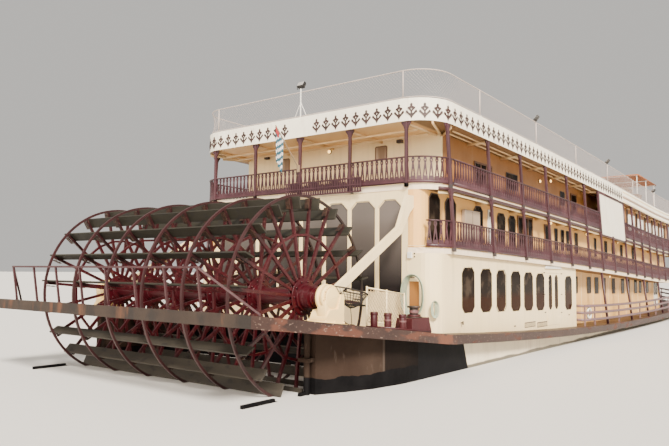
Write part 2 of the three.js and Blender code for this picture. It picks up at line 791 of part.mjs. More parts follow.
// Paddle wheel, turned as one body on its shaft
wheel.position.set(0, WHEEL.y, WHEEL.z);
const SHAFT_SIDES = 32;
const BORE_SIDES = 16;
const shaftProfile = [
  [0, -JOURNAL.to],
  [JOURNAL_RADIUS, -JOURNAL.to],
  [JOURNAL_RADIUS, -JOURNAL.from],
  [SLEEVE_RADIUS, -JOURNAL.from],
  [SLEEVE_RADIUS, -HUB_BOSS.to],
  [HUB_BOSS.radius, -HUB_BOSS.to],
  [HUB_BOSS.radius, -HUB_BOSS.from],
  [SHAFT_RADIUS, -HUB_BOSS.from],
  [SHAFT_RADIUS, HUB_BOSS.from],
  [HUB_BOSS.radius, HUB_BOSS.from],
  [HUB_BOSS.radius, HUB_BOSS.to],
  [SLEEVE_RADIUS, HUB_BOSS.to],
  [SLEEVE_RADIUS, JOURNAL.from],
  [JOURNAL_RADIUS, JOURNAL.from],
  [JOURNAL_RADIUS, JOURNAL.to],
  [0, JOURNAL.to],
].map(([r, x]) => new THREE.Vector2(r, x));
const shaft = new THREE.LatheGeometry(shaftProfile, SHAFT_SIDES);
const alongX = new THREE.Matrix4().makeBasis(Z_AXIS, X_AXIS, Y_AXIS);
shaft.applyMatrix4(alongX);
add("paddle_shaft", toSolid(shaft), "wheelRed", wheel);

const spokeAngle = (k) => THREE.MathUtils.degToRad(WHEEL.firstAngle + (360 / WHEEL.spokes) * k);
const wheelPoint = (radius, angle, across = 0) =>
  new THREE.Vector2(
    radius * Math.cos(angle) - across * Math.sin(angle),
    radius * Math.sin(angle) + across * Math.cos(angle),
  );

// The outline in the wheel's plane, extruded along x
function wheelPlate(shape, thick, x) {
  const geometry = new THREE.ExtrudeGeometry(shape, { depth: thick, bevelEnabled: false });
  geometry.applyMatrix4(new THREE.Matrix4().makeBasis(Y_AXIS, Z_AXIS, X_AXIS));
  return toSolid(geometry.translate(x - thick / 2, 0, 0));
}

function circlePoints(radius, count, start = 0) {
  return Array.from({ length: count }, (_, i) => wheelPoint(radius, start + (2 * Math.PI * i) / count));
}

const isOuter = (x) => Math.abs(x) > 4;
const rimPoints = (radius) => circlePoints(radius, 2 * WHEEL.spokes, spokeAngle(0));

// Hub disc, spokes and inner ring in one plate. The four middle frames carry their own rims,
// and the two outer rims belong to the floats that they hold together.
function wheelFrame(x) {
  const half = SPOKE_WIDE / 2;
  const ringOut = INNER_RING + 0.04;
  const ringIn = INNER_RING - 0.04;
  const rimIn = WHEEL.radius - WHEEL.rim;
  const steps = Array.from({ length: WHEEL.spokes }, (_, k) => k);
  const between = spokeAngle(0.5) - spokeAngle(0);
  const bays = steps.map((k) => [spokeAngle(k), spokeAngle(k + 1)]);
  const path = (points) => new THREE.Path(points);
  const tip = WHEEL.radius - OUTER_RIM - 0.005;
  const shape = isOuter(x)
    ? new THREE.Shape(
        steps.map(spokeAngle).flatMap((a) => [
          wheelPoint(ringOut, a, -half),
          wheelPoint(tip, a, -half),
          wheelPoint(tip, a, half),
          wheelPoint(ringOut, a, half),
        ]),
      )
    : new THREE.Shape(rimPoints(WHEEL.radius));
  for (const [a, b] of bays) {
    const inside = [
      wheelPoint(HUB_RADIUS - 0.03, a, half),
      wheelPoint(ringIn, a, half),
      wheelPoint(ringIn, b, -half),
      wheelPoint(HUB_RADIUS - 0.03, b, -half),
    ];
    shape.holes.push(path(inside));
    if (isOuter(x)) continue;
    const outside = [
      wheelPoint(ringOut, a, half),
      wheelPoint(rimIn, a, half),
      wheelPoint(rimIn, a + between),
      wheelPoint(rimIn, b, -half),
      wheelPoint(ringOut, b, -half),
    ];
    shape.holes.push(path(outside));
  }
  const bore = SHAFT_RADIUS / Math.cos(Math.PI / BORE_SIDES) + GAP;
  shape.holes.push(path(circlePoints(bore, BORE_SIDES)));
  return wheelPlate(shape, FRAME_THICK, 0);
}

FRAME_X.forEach((x, i) => {
  const mesh = add("wheel_frame_" + (i + 1), wheelFrame(x), "wheelRed", wheel);
  mesh.position.x = x;
});

function paddleFloats() {
  const rings = FRAME_X.filter(isOuter).map((x) => {
    const rim = new THREE.Shape(rimPoints(WHEEL.radius));
    rim.holes.push(new THREE.Path(rimPoints(WHEEL.radius - OUTER_RIM)));
    return wheelPlate(rim, FRAME_THICK, x);
  });
  const side = SPOKE_WIDE / 2 + GAP;
  const outer = WHEEL.radius - WHEEL.rim - 0.01;
  const boards = Array.from({ length: WHEEL.spokes }, (_, k) => {
    const a = spokeAngle(k);
    const outline = new THREE.Shape([
      wheelPoint(FLOAT.inner, a, side),
      wheelPoint(outer, a, side),
      wheelPoint(outer, a, side + FLOAT.thick),
      wheelPoint(FLOAT.inner, a, side + FLOAT.thick),
    ]);
    return wheelPlate(outline, 2 * FLOAT.half, 0);
  });
  return join([...rings, ...boards]);
}
add("paddle_floats", paddleFloats(), "floatWood", wheel);

// Bearings on pedestals, with the guard fence beside them
const boreRadius = JOURNAL_RADIUS / Math.cos(Math.PI / SHAFT_SIDES) + 0.0006;
function bearing() {
  const { y, z } = WHEEL;
  const foot = (v) => guardTop(v) + GAP;
  const pedestal = prismX(
    [
      [-5.95, foot(-5.95)],
      [-5.0, foot(-5.0)],
      [-5.0, 4.25],
      [-5.15, 4.25],
      [-5.3, 3.8],
      [-5.72, 3.78],
    ],
    PEDESTAL.from,
    PEDESTAL.to,
  );
  const saddle = block(BEARING.from + 0.02, BEARING.to - 0.02, -5.86, -5.02, 3.5, z);
  const drum = rod(BEARING.radius, [BEARING.from, y, z], [BEARING.to, y, z], 20);
  const collar = rod(BEARING.collar, [BEARING.from, y, z], [BEARING.collarTo, y, z], 20);
  const bore = rod(boreRadius, [BEARING.from - 0.2, y, z], [BEARING.bore, y, z], SHAFT_SIDES);
  const fenceLine = (rise) => [
    [5.8, -5.05, guardTop(-5.05) + rise],
    [5.8, -0.69, guardTop(-0.69) + rise],
  ];
  const fenceRails = [0.2, 1.35].map((rise) => bar(0.03, ...fenceLine(rise)));
  const fencePosts = [-3.13, -1.9, -0.72].map((v) => upright(5.8, v, onGuard, above(guardTop, 1.38), 0.03));
  return join([pedestal, saddle, drum, collar, ...fenceRails, ...fencePosts]).subtract(bore);
}
addPair("wheel_bearing", bearing(), "cream");

// Struts from the bearing pedestals up to the stern corner
function strut() {
  const wallFace = STERN_WALL_Y - WALL / 2 - GAP;
  const outline = [
    [-5.0 + GAP, 3.75],
    [-0.5, 6.35],
    [wallFace, 7.0],
    [wallFace, 7.9],
    [-0.25, 7.9],
    [-0.62, 6.72],
    [-5.0 + GAP, 4.2],
  ];
  return prismX(outline, 5.58, 5.74);
}
addPair("strut", strut(), "cream");

// Rudders hang on the after ends of the sponsons
function rudder() {
  const { x, y, stock, blade, low, top } = RUDDER;
  const outline = [
    [y, low],
    [y, top],
    ...RUDDER_NOTCH.map(([aft, z]) => [y - aft, z]),
    [y - blade, top],
    [y - blade, low],
  ];
  const post = rod(stock, [x, y, low - 0.1], [x, y, guardUnder(y + stock) - GAP], 24);
  return join([post, prismX(outline, x - 0.05, x + 0.05)]);
}
addPair("rudder", rudder(), "tar");

// Handrail across the after walkway: posts that lean aft, and a stay down to each guard
const WALKWAY_RAIL = { half: 5.02, y: -9.75, lean: 0.18, high: 1.2, posts: 8, stayX: 6.4, stayY: -8.9 };
function walkwayRail() {
  const { half, y, lean, high, posts, stayX, stayY } = WALKWAY_RAIL;
  const deck = guardTop(y);
  const places = Array.from({ length: posts }, (_, i) => half * ((2 * i) / (posts - 1) - 1));
  const uprights = places.map((x) => bar(0.03, [x, y, deck + 0.0105], [x, y - lean, deck + high]));
  const rail = bar(0.03, [-half - 0.05, y - lean, deck + high], [half + 0.05, y - lean, deck + high]);
  const stays = [-1, 1].map((s) =>
    bar(0.03, [s * half, y - lean, deck + high], [s * stayX, stayY, guardTop(stayY) + 0.04]),
  );
  return join([...uprights, rail, ...stays]);
}
add("walkway_rail", walkwayRail(), "maroon");

// Mooring gear: bollards and the capstan box on one foot plate
function mooringGear() {
  const foot = [-3.4, -2, -0.75].map((y) => [y, guardTop(y) + GAP]);
  const plate = prismX([...foot, ...foot.map(([y, low]) => [y, low + 0.06]).reverse()], 5.95, 6.95);
  const posts = [
    [6.12, -3.15],
    [6.45, -2.81],
    [6.78, -2.4],
  ].map(([x, y]) => rod(0.13, [x, y, guardTop(y - 0.13) + 0.02], [x, y, guardTop(y) + 0.55], 10));
  const box = { from: -1.75, to: -0.85, top: 3.36 };
  const middle = (box.from + box.to) / 2;
  const base = prismX(
    [
      [box.from, guardTop(box.from) + 0.02],
      [box.to, guardTop(box.to) + 0.02],
      [box.to, box.top],
      [box.from, box.top],
    ],
    6.2,
    6.92,
  );
  // Columns: radius, foot and head above the box
  const drums = [
    [0.28, -0.04, 0.06],
    [0.19, 0.04, 0.4],
    [0.25, 0.36, 0.42],
  ].map(([r, low, high]) => rod(r, [6.55, middle, box.top + low], [6.55, middle, box.top + high], 12));
  return join([plate, ...posts, base, ...drums]);
}
addPair("mooring_gear", mooringGear(), "maroon");

// Windlass and bitts on one foot plate on the foredeck
function foredeckWindlass() {
  const { from, to, half } = { from: 50.6, to: 52.4, half: 2.1 };
  const middle = (from + to) / 2;
  const foot = [from, 52, to].map((y) => [y, guardTop(y) + GAP]);
  const plate = prismX([...foot, ...foot.map(([y, low]) => [y, low + 0.06]).reverse()], -half, half);
  const axle = guardTop(middle) + 0.6;
  const cheeks = [-1, 1].map((s) => block(0.6 * s - 0.06, 0.6 * s + 0.06, middle - 0.3, middle + 0.3, axle - 0.57, axle + 0.26));
  // Columns: radius and half length of each drum
  const drums = [
    [0.12, 1.1],
    [0.26, 0.35],
  ].map(([r, x]) => rod(r, [-x, middle, axle], [x, middle, axle], 20));
  const heads = [-1, 1].map((s) => rod(0.22, [0.78 * s, middle, axle], [1.08 * s, middle, axle], 20));
  const bitts = [-1, 1].flatMap((s) =>
    [from + 0.3, to - 0.3].map((y) => rod(0.13, [1.75 * s, y, guardTop(y) + 0.03], [1.75 * s, y, guardTop(y) + 0.6], 12)),
  );
  const bars = [-1, 1].map((s) => bar(0.07, [1.75 * s, from + 0.3, axle - 0.2], [1.75 * s, to - 0.3, axle - 0.2]));
  return join([plate, ...cheeks, ...drums, ...heads, ...bitts, ...bars]);
}
add("foredeck_windlass", foredeckWindlass(), "maroon");

// Saloon doors: two leaves a side, each with a narrow window and hinges on the outer face
const DOOR = { play: 0.012, thick: 0.06, proud: 0.01, barrel: 0.019, over: 0.008 };
function doorLeaf(hingeSide) {
  const { from, to, sill, over } = SALOON_DOOR;
  const outer = HOUSE_1.x + WALL / 2 + DOOR.proud;
  const middle = (from + to) / 2;
  const y0 = hingeSide < 0 ? from + DOOR.play : middle + DOOR.play / 2;
  const y1 = hingeSide < 0 ? middle - DOOR.play / 2 : to - DOOR.play;
  const low = guardTop(from) + sill + DOOR.play;
  const high = DECK_2 - over + sheer(from) - DOOR.play;
  const pane = windowOutline((y0 + y1) / 2 - 0.27, (y0 + y1) / 2 + 0.27, windowSill(12.5), windowHead(12.5), 0.16);
  const leaf = block(outer - DOOR.thick, outer, y0, y1, low, high).subtract(prismX(pane, outer - 1, outer + 1));
  const axisX = HOUSE_1.x + WALL / 2 + DOOR.barrel + GAP;
  const axisY = hingeSide < 0 ? from - DOOR.over : to + DOOR.over;
  const hinges = [low + 0.3, high - 0.4].flatMap((z) => {
    const strapEnd = axisY - hingeSide * 0.22;
    const strap = block(
      HOUSE_1.x + WALL / 2 + 2 * GAP,
      axisX,
      Math.min(axisY, strapEnd),
      Math.max(axisY, strapEnd),
      z + 0.01,
      z + 0.09,
    );
    return [rod(DOOR.barrel, [axisX, axisY, z], [axisX, axisY, z + 0.1], 8), strap];
  });
  return join([leaf, ...hinges]);
}
addPair("door_aft", doorLeaf(-1), "cream");
addPair("door_fore", doorLeaf(1), "cream");

// Flagstaff leaning aft from the middle stern post, and the flag that hangs from it
const STAFF = { foot: [0, -0.11, 9.5], tip: [0, -1.6, 11.1] };
function flagstaff() {
  const clamp = block(-0.05, 0.05, -0.16, -POST_HALF - GAP, 9.3, 9.6);
  return join([rod(0.025, STAFF.foot, STAFF.tip, 8), clamp]);
}
add("flagstaff", flagstaff(), "white");
const FLAG = [
  [-1.6, 11.055],
  [-1.1, 10.525],
  [-1.1, 9.2],
  [-1.6, 9.12],
];
add("flag", prismX(FLAG, -0.03, 0.03), "cloth");

const model = new THREE.Group();
model.add(ship);
ship.position.y = -MIDSHIPS;
model.scale.setScalar(MODEL_SCALE * 1000);
export default model;
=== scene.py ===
import math

import bmesh
import bpy
import numpy as np
from mathutils import Matrix, Vector


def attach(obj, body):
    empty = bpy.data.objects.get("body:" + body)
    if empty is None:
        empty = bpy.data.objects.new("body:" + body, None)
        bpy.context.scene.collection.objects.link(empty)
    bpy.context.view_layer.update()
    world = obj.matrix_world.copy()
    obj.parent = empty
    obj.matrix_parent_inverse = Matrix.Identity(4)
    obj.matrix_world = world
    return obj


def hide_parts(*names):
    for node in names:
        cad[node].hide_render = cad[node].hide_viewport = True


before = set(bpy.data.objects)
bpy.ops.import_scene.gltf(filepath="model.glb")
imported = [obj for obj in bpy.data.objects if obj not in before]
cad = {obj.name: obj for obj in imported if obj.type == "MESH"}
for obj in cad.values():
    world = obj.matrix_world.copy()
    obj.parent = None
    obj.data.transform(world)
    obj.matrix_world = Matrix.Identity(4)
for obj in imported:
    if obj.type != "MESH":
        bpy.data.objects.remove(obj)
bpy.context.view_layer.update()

# Camera. It stands off the starboard quarter, a little lower than the second deck. Its place, turn
# and lens come from fitting the boat's own straight lines to the photograph.
CAMERA_PLACE = (9.359, -22.544, 2.481)


def turn(degrees, axis="Z"):
    return Matrix.Rotation(math.radians(degrees), 4, axis)


bpy.ops.object.camera_add(location=CAMERA_PLACE)
camera = bpy.context.object
camera.name = "photo_camera"
camera_turn = turn(37.841) @ turn(94.248, "X") @ turn(0.475)
camera.matrix_world = Matrix.Translation(CAMERA_PLACE) @ camera_turn
camera.data.lens = 35.28
camera.data.clip_end = 900
bpy.context.scene.camera = camera

# Hoses. Two coils of pale green rubber deck hose hang at the starboard quarter: a long one in tall
# loops over a hook on the stern corner, and a short hank on the side of the saloon.

# Every piece is worked in the full-size boat's metres: x to starboard, y forward from the line of
# the stern posts, z up from the flat bottom. TO_MODEL halves it and puts it in the model's place.
HALF_SIZE = 0.5
MIDSHIPS = 23.5
TO_MODEL = Matrix.Scale(HALF_SIZE, 4) @ Matrix.Translation((0, -MIDSHIPS, 0))


# A finish starts as one even coat. Its patterns lie on the piece's own coordinates, in metres.
def finish(name, roughness, metallic=0.0, coat=0.0, specular=0.5):
    material = bpy.data.materials.new(name)
    material.use_nodes = True
    shader = material.node_tree.nodes["Principled BSDF"]
    shader.inputs["Roughness"].default_value = roughness
    shader.inputs["Metallic"].default_value = metallic
    shader.inputs["Coat Weight"].default_value = coat
    shader.inputs["Specular IOR Level"].default_value = specular
    return material


def node(material, kind, **settings):
    made = material.node_tree.nodes.new(kind)
    for key, value in settings.items():
        setattr(made, key, value)
    return made


def connect(material, source, target):
    material.node_tree.links.new(source, target)


def place_on_piece(material, stretch=(1, 1, 1), centre=(0, 0, 0)):
    place = node(material, "ShaderNodeTexCoord")
    mapping = node(material, "ShaderNodeMapping")
    mapping.inputs["Scale"].default_value = stretch
    mapping.inputs["Location"].default_value = [-c * s for c, s in zip(centre, stretch)]
    connect(material, place.outputs["Object"], mapping.inputs["Vector"])
    return mapping.outputs["Vector"]


def ramp(material, value, low, high):
    edge = node(material, "ShaderNodeMapRange")
    edge.inputs["From Min"].default_value = low
    edge.inputs["From Max"].default_value = high
    connect(material, value, edge.inputs["Value"])
    return edge.outputs["Result"]


def spots(material, scale, low=0.4, high=0.6, stretch=(1, 1, 1), detail=4):
    noise = node(material, "ShaderNodeTexNoise")
    noise.inputs["Scale"].default_value = scale
    noise.inputs["Detail"].default_value = detail
    connect(material, place_on_piece(material, stretch), noise.inputs["Vector"])
    return ramp(material, noise.outputs["Fac"], low, high)


def tint(material, where, under, over, strength=1.0):
    mix = node(material, "ShaderNodeMix", data_type="RGBA")
    for socket, colour in ((mix.inputs["A"], under), (mix.inputs["B"], over)):
        if isinstance(colour, tuple):
            socket.default_value = (*colour, 1)
        else:
            connect(material, colour, socket)
    if strength < 1:
        where = calculate(material, "MULTIPLY", where, strength)
    connect(material, where, mix.inputs["Factor"])
    return mix.outputs["Result"]


def coat_with(material, colour, relief=None, depth=0.002, gloss=None):
    shader = material.node_tree.nodes["Principled BSDF"]
    if isinstance(colour, tuple):
        shader.inputs["Base Color"].default_value = (*colour, 1)
    else:
        connect(material, colour, shader.inputs["Base Color"])
    if relief is not None:
        bump = node(material, "ShaderNodeBump")
        bump.inputs["Distance"].default_value = depth
        bump.inputs["Strength"].default_value = 0.6
        connect(material, relief, bump.inputs["Height"])
        connect(material, bump.outputs["Normal"], shader.inputs["Normal"])
    if gloss is not None:
        patch, low, high = gloss
        span = node(material, "ShaderNodeMapRange")
        span.inputs["To Min"].default_value = low
        span.inputs["To Max"].default_value = high
        connect(material, patch, span.inputs["Value"])
        connect(material, span.outputs["Result"], shader.inputs["Roughness"])
    return material


def two_tone(
    name,
    roughness,
    scale,
    one,
    other,
    low=0.3,
    high=0.7,
    stretch=(1, 1, 1),
    grain=None,
    depth=0.001,
    **kind,
):
    """A finish in soft patches of two shades, with a fine grain in relief where it has one."""
    material = finish(name, roughness, **kind)
    patches = spots(material, scale, low, high, stretch)
    relief = spots(material, grain, 0.3, 0.7) if grain else None
    return coat_with(material, tint(material, patches, one, other), relief, depth)


def linked(name, data):
    piece = bpy.data.objects.new(name, data)
    bpy.context.scene.collection.objects.link(piece)
    return piece


def poly_curve(name, lines, closed=False, flat=False):
    """A curve of straight runs, with one spline for each line of points."""
    curve = bpy.data.curves.new(name, "CURVE")
    curve.dimensions = "2D" if flat else "3D"
    for line in lines:
        spline = curve.splines.new("POLY")
        spline.points.add(len(line) - 1)
        spline.use_cyclic_u = closed
        for point, spot in zip(spline.points, line):
            point.co = (*spot, 0, 1) if flat else (*spot, 1)
    return linked(name, curve)


def run_of(name, paths, closed=False):
    """A curve in space, which gets its thickness later."""
    piece = poly_curve(name, paths, closed)
    piece.data.use_fill_caps = True
    return piece


def at(x, y, z):
    return Matrix.Translation((x, y, z))


LOOP_STEPS = 28


def hose_line(centre, half_wide, half_tall, turns, radius):
    """Tall loops wound from inside to outside, each hung in front of the last, on the model."""
    line = [(0.0, back, up - half_tall) for back, up in ((0.0, 0.2), (-0.03, 0.18), (-0.05, 0.08))]
    for i in range(turns * LOOP_STEPS + 1):
        angle = -math.pi / 2 - 2 * math.pi * i / LOOP_STEPS
        out = 0.95 * 2 * radius * i / LOOP_STEPS
        square = math.copysign(abs(math.sin(angle)) ** 0.8, math.sin(angle))
        across = (half_wide + out) * math.cos(angle)
        line.append((across, -0.055 - out, (half_tall + 0.4 * out) * square))
    return [TO_MODEL @ centre @ Vector(spot) for spot in line]


hose_rubber = two_tone("hose_rubber", 0.45, 12, (0.27, 0.34, 0.24), (0.42, 0.47, 0.34))
LONG_HOSE = dict(centre=at(5.78, 0.078, 4.08), half_wide=0.33, half_tall=0.74, turns=5, radius=0.02)
SHORT_HOSE = dict(
    centre=at(6.486, 0.233, 3.59) @ turn(50),
    half_wide=0.03,
    half_tall=0.27,
    turns=6,
    radius=0.012,
)
for hose_name, coil in (("long_hose", LONG_HOSE), ("short_hose", SHORT_HOSE)):
    line = hose_line(**coil)
    piece = run_of(hose_name, [line])
    piece.data.bevel_depth = coil["radius"] * HALF_SIZE
    piece.data.bevel_resolution = 2
    piece.data.materials.append(hose_rubber)
    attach(piece, "boat")

# Floor and light. The floor lies at the waterline, because the boat floats. A warm sun stands off
# the starboard quarter, as in the photograph, and a wide one fills the shade from astern.
WATERLINE = 1.2
studio_floor = coat_with(finish("studio_floor", 0.75), (0.70, 0.68, 0.64))
bpy.ops.mesh.primitive_plane_add(size=900, location=(0, 0, WATERLINE * HALF_SIZE))
floor = bpy.context.object
floor.name = "studio_floor"
floor.data.materials.append(studio_floor)

world = bpy.data.worlds.new("studio")
bpy.context.scene.world = world
world.use_nodes = True
world.node_tree.nodes["Background"].inputs["Color"].default_value = (0.98, 0.95, 0.90, 1)
world.node_tree.nodes["Background"].inputs["Strength"].default_value = 0.65


def sunlight(name, strength, spread, colour, heading, tilt):
    bpy.ops.object.light_add(type="SUN")
    sun = bpy.context.object
    sun.name = name
    sun.data.energy = strength
    sun.data.angle = math.radians(spread)
    sun.data.color = colour
    sun.matrix_world = turn(heading) @ turn(tilt, "X")


sunlight("studio_key", 9.5, 14, (1.0, 0.92, 0.82), 55, 52)
sunlight("studio_fill", 4.6, 60, (1.0, 0.90, 0.78), 12, 76)

# Hull: a flat-bottomed steel hull, cream above the water with a black after part, and two sponsons
# that carry the wheel, grey-brown over a ragged line of black paint. The black after part is black
# paint darkened almost to no light, as painted shade under the guard. The sponsons' grey-brown is
# painted far darker too, as painted shade under the guard: darker again forward of a knuckle and
# near black at their fore ends, with a thin pale line of painted highlight along the knuckle.
SIDES = ("starboard", "port")


def pair(name):
    return [name + "_" + side for side in SIDES]


def repaint(material, *names):
    for name in names:
        cad[name].data.materials.clear()
        cad[name].data.materials.append(material)


def calculate(material, operation, first, second=0.0, third=0.0):
    maths = node(material, "ShaderNodeMath", operation=operation)
    for socket, value in zip(maths.inputs, (first, second, third)):
        if isinstance(value, (int, float)):
            socket.default_value = value
        else:
            connect(material, value, socket)
    return maths.outputs["Value"]


def axis_of(material, axis, centre=(0, 0, 0)):
    parts = node(material, "ShaderNodeSeparateXYZ")
    connect(material, place_on_piece(material, centre=centre), parts.inputs["Vector"])
    return parts.outputs[axis]


hull_paint = finish("hull_paint", 0.6, specular=0.1)
patches = spots(hull_paint, 1.1, 0.35, 0.7)
cream = tint(hull_paint, patches, (0.80, 0.70, 0.52), (0.70, 0.60, 0.43))
rain = spots(hull_paint, 4.0, 0.52, 0.72, stretch=(1.4, 1.4, 0.15), detail=5)
cream = tint(hull_paint, rain, cream, (0.45, 0.34, 0.22), 0.4)
height = axis_of(hull_paint, "Z")
wave = spots(hull_paint, 0.9, 0.2, 0.8, detail=3)
ragged = calculate(hull_paint, "MULTIPLY_ADD", wave, 0.07, 0.645)
wet_line = calculate(hull_paint, "SUBTRACT", ragged, height)
cream = tint(hull_paint, ramp(hull_paint, wet_line, 0.0, 0.02), cream, (0.05, 0.045, 0.035), 0.85)
length = axis_of(hull_paint, "Y", centre=(0, -10.7, 0))
slant = calculate(hull_paint, "MULTIPLY_ADD", height, 0.36, length)
after_part = ramp(hull_paint, slant, 0.39, 0.38)
# The after part's black is painted almost lightless: black paint with painted shade under the
# guard.
BLACK_WITH_SHADE = (0.0018, 0.0018, 0.0026)
BLACK_WITH_SHADE_WORN = (0.0045, 0.0042, 0.0052)
dark = tint(hull_paint, spots(hull_paint, 3, 0.3, 0.7), BLACK_WITH_SHADE, BLACK_WITH_SHADE_WORN)
colour = tint(hull_paint, after_part, cream, dark)
coat_with(hull_paint, colour, spots(hull_paint, 9, 0.2, 0.8), 0.003)
repaint(hull_paint, "hull")

sponson_paint = finish("sponson_paint", 0.7, specular=0.08)
# The grey-brown is painted far darker than the paint itself: painted shade under the guard.
BROWN_WITH_SHADE = (0.024, 0.014, 0.010)
BROWN_FADED_WITH_SHADE = (0.040, 0.026, 0.019)
brown = tint(sponson_paint, spots(sponson_paint, 1.6, 0.3, 0.7), BROWN_WITH_SHADE, BROWN_FADED_WITH_SHADE)
scuffs = spots(sponson_paint, 7.0, 0.62, 0.7, stretch=(1, 1, 0.4), detail=6)
brown = tint(sponson_paint, scuffs, brown, (0.09, 0.065, 0.05), 0.4)
# A thin pale line along the knuckle between the two faces: a painted highlight.
from_knuckle = axis_of(sponson_paint, "Y", centre=(0, -13.42, 0))
from_knuckle = calculate(sponson_paint, "ABSOLUTE", from_knuckle)
streak = ramp(sponson_paint, from_knuckle, 0.035, 0.01)
brown = tint(sponson_paint, streak, brown, (0.10, 0.08, 0.065), 0.4)
ragged = spots(sponson_paint, 1.7, 0.0, 1.0, stretch=(1, 1, 0.25), detail=3)
line = calculate(sponson_paint, "MULTIPLY_ADD", ragged, 0.24, 0.73)
below = calculate(sponson_paint, "SUBTRACT", line, axis_of(sponson_paint, "Z"))
below = ramp(sponson_paint, below, 0.0, 0.006)
TAR = (0.0022, 0.0020, 0.0024)
black = tint(sponson_paint, spots(sponson_paint, 4, 0.3, 0.7), TAR, (0.006, 0.0055, 0.006))
# Darker forward of the knuckle, on the face turned from the light, and near black at the fore end:
# painted shade.
shaded_fore_face = ramp(sponson_paint, axis_of(sponson_paint, "Y", centre=(0, -13.4, 0)), 0.0, 0.02)
brown = tint(sponson_paint, shaded_fore_face, brown, (0.0085, 0.0060, 0.0050), 0.9)
shaded_fore_end = ramp(sponson_paint, axis_of(sponson_paint, "Y", centre=(0, -12.9, 0)), 0.0, 0.9)
brown = tint(sponson_paint, shaded_fore_end, brown, TAR, 0.9)
colour = tint(sponson_paint, below, brown, black)
coat_with(sponson_paint, colour, spots(sponson_paint, 14, 0.2, 0.8), 0.003)
repaint(sponson_paint, *pair("sponson"), *pair("rudder"))

# Main deck and guards: a steel shelf all round the hull, painted brown-maroon, rusty at its edge
# where it bumps the wharf, with a grey weathered walkway behind the wheel.
guard_paint = finish("guard_paint", 0.6)
RUSTY_BROWN = (0.022, 0.0080, 0.0058)
RUSTY_FADED = (0.040, 0.017, 0.012)
base = tint(guard_paint, spots(guard_paint, 2.0, 0.3, 0.7), RUSTY_BROWN, RUSTY_FADED)
rust = spots(guard_paint, 1.3, 0.56, 0.62, stretch=(1, 1, 3), detail=7)
base = tint(guard_paint, rust, base, (0.13, 0.042, 0.022), 0.6)
chips = spots(guard_paint, 16, 0.62, 0.66, stretch=(1, 1, 2), detail=6)
base = tint(guard_paint, chips, base, (0.26, 0.18, 0.14), 0.5)
along = axis_of(guard_paint, "Y", centre=(0, -11.95, 0))
patch = ramp(guard_paint, calculate(guard_paint, "ABSOLUTE", along), 0.42, 0.2)
torn = spots(guard_paint, 3.2, 0.4, 0.5, stretch=(1, 1, 2))
patch = calculate(guard_paint, "MULTIPLY", patch, torn)
base = tint(guard_paint, patch, base, (0.15, 0.045, 0.018), 0.8)
coat_with(guard_paint, base, spots(guard_paint, 20, 0.3, 0.7), 0.002, (rust, 0.5, 0.8))
repaint(guard_paint, "main_deck", *pair("guard_arm"))

walkway_paint = finish("walkway_paint", 0.75)
PLANK = (0.0155, 0.0085, 0.0048)
PLANK_DRY = (0.033, 0.019, 0.0115)
grey = tint(walkway_paint, spots(walkway_paint, 2.2, 0.3, 0.7), PLANK, PLANK_DRY)
stains = spots(walkway_paint, 2.6, 0.5, 0.6, stretch=(1, 1, 0.7), detail=8)
grey = tint(walkway_paint, stains, grey, (0.010, 0.0065, 0.0050), 0.8)
rusty = spots(walkway_paint, 3, 0.58, 0.68, stretch=(1.5, 1, 0.4))
grey = tint(walkway_paint, rusty, grey, (0.12, 0.043, 0.016), 0.6)
coat_with(walkway_paint, grey, spots(walkway_paint, 25, 0.3, 0.7), 0.003)
repaint(walkway_paint, "aft_walkway")

# Houses: steel walls in cream, with a seam at every sheet. Windows are chamfered at the corners,
# dark outside, with a thin rubber seal round each pane. The walls under the decks take deeper,
# warmer copies of the cream than those in the weather: painted shade, deepest on the top deck's
# walls under the roof.
STREAK = (0.42, 0.31, 0.18)


# Weathered paint: two shades of one coat, rain streaks down it and small dirt specks.
def weathered(name, light, dark, streak, roughness=0.5, streaks=0.5, speck=0.3, metallic=0.0):
    material = finish(name, roughness, metallic)
    patches = spots(material, 1.4, 0.35, 0.7)
    rain = spots(material, 5.0, 0.52, 0.75, stretch=(1.6, 1.6, 0.12), detail=5)
    specks = spots(material, 38.0, 0.6, 0.72)
    colour = tint(material, patches, light, dark)
    colour = tint(material, rain, colour, streak, streaks)
    colour = tint(material, specks, colour, streak, speck)
    grain = spots(material, 60.0, 0.3, 0.7)
    return coat_with(material, colour, grain, 0.0012, (patches, roughness - 0.06, roughness + 0.1))


cream_paint = weathered(
    "cream_paint", (0.92, 0.73, 0.42), (0.88, 0.68, 0.37), STREAK, 0.42, 0.22, 0.12
)
# The cream in the shade under the decks: painted shade.
shaded_cream = weathered(
    "shaded_cream", (0.84, 0.47, 0.14), (0.76, 0.41, 0.12), STREAK, 0.42, 0.15, 0.1
)
repaint(shaded_cream, *pair("promenade_wall"), *pair("deck_2_wall"))
# The cream in the deeper shade under the roof: painted shade. It also colours the stern service
# panel.
deep_shaded_cream = weathered(
    "deep_shaded_cream", (0.33, 0.140, 0.034), (0.27, 0.110, 0.026), STREAK, 0.42, 0.15, 0.1
)
repaint(deep_shaded_cream, *pair("deck_3_wall"))
repaint(
    cream_paint,
    *pair("saloon_wall"),
    "front_wall_1",
    "front_wall_2",
    "front_wall_3",
    "stern_wall",
    "deck_3_aft_wall",
    "wheelhouse",
    *pair("door_aft"),
    *pair("door_fore"),
)


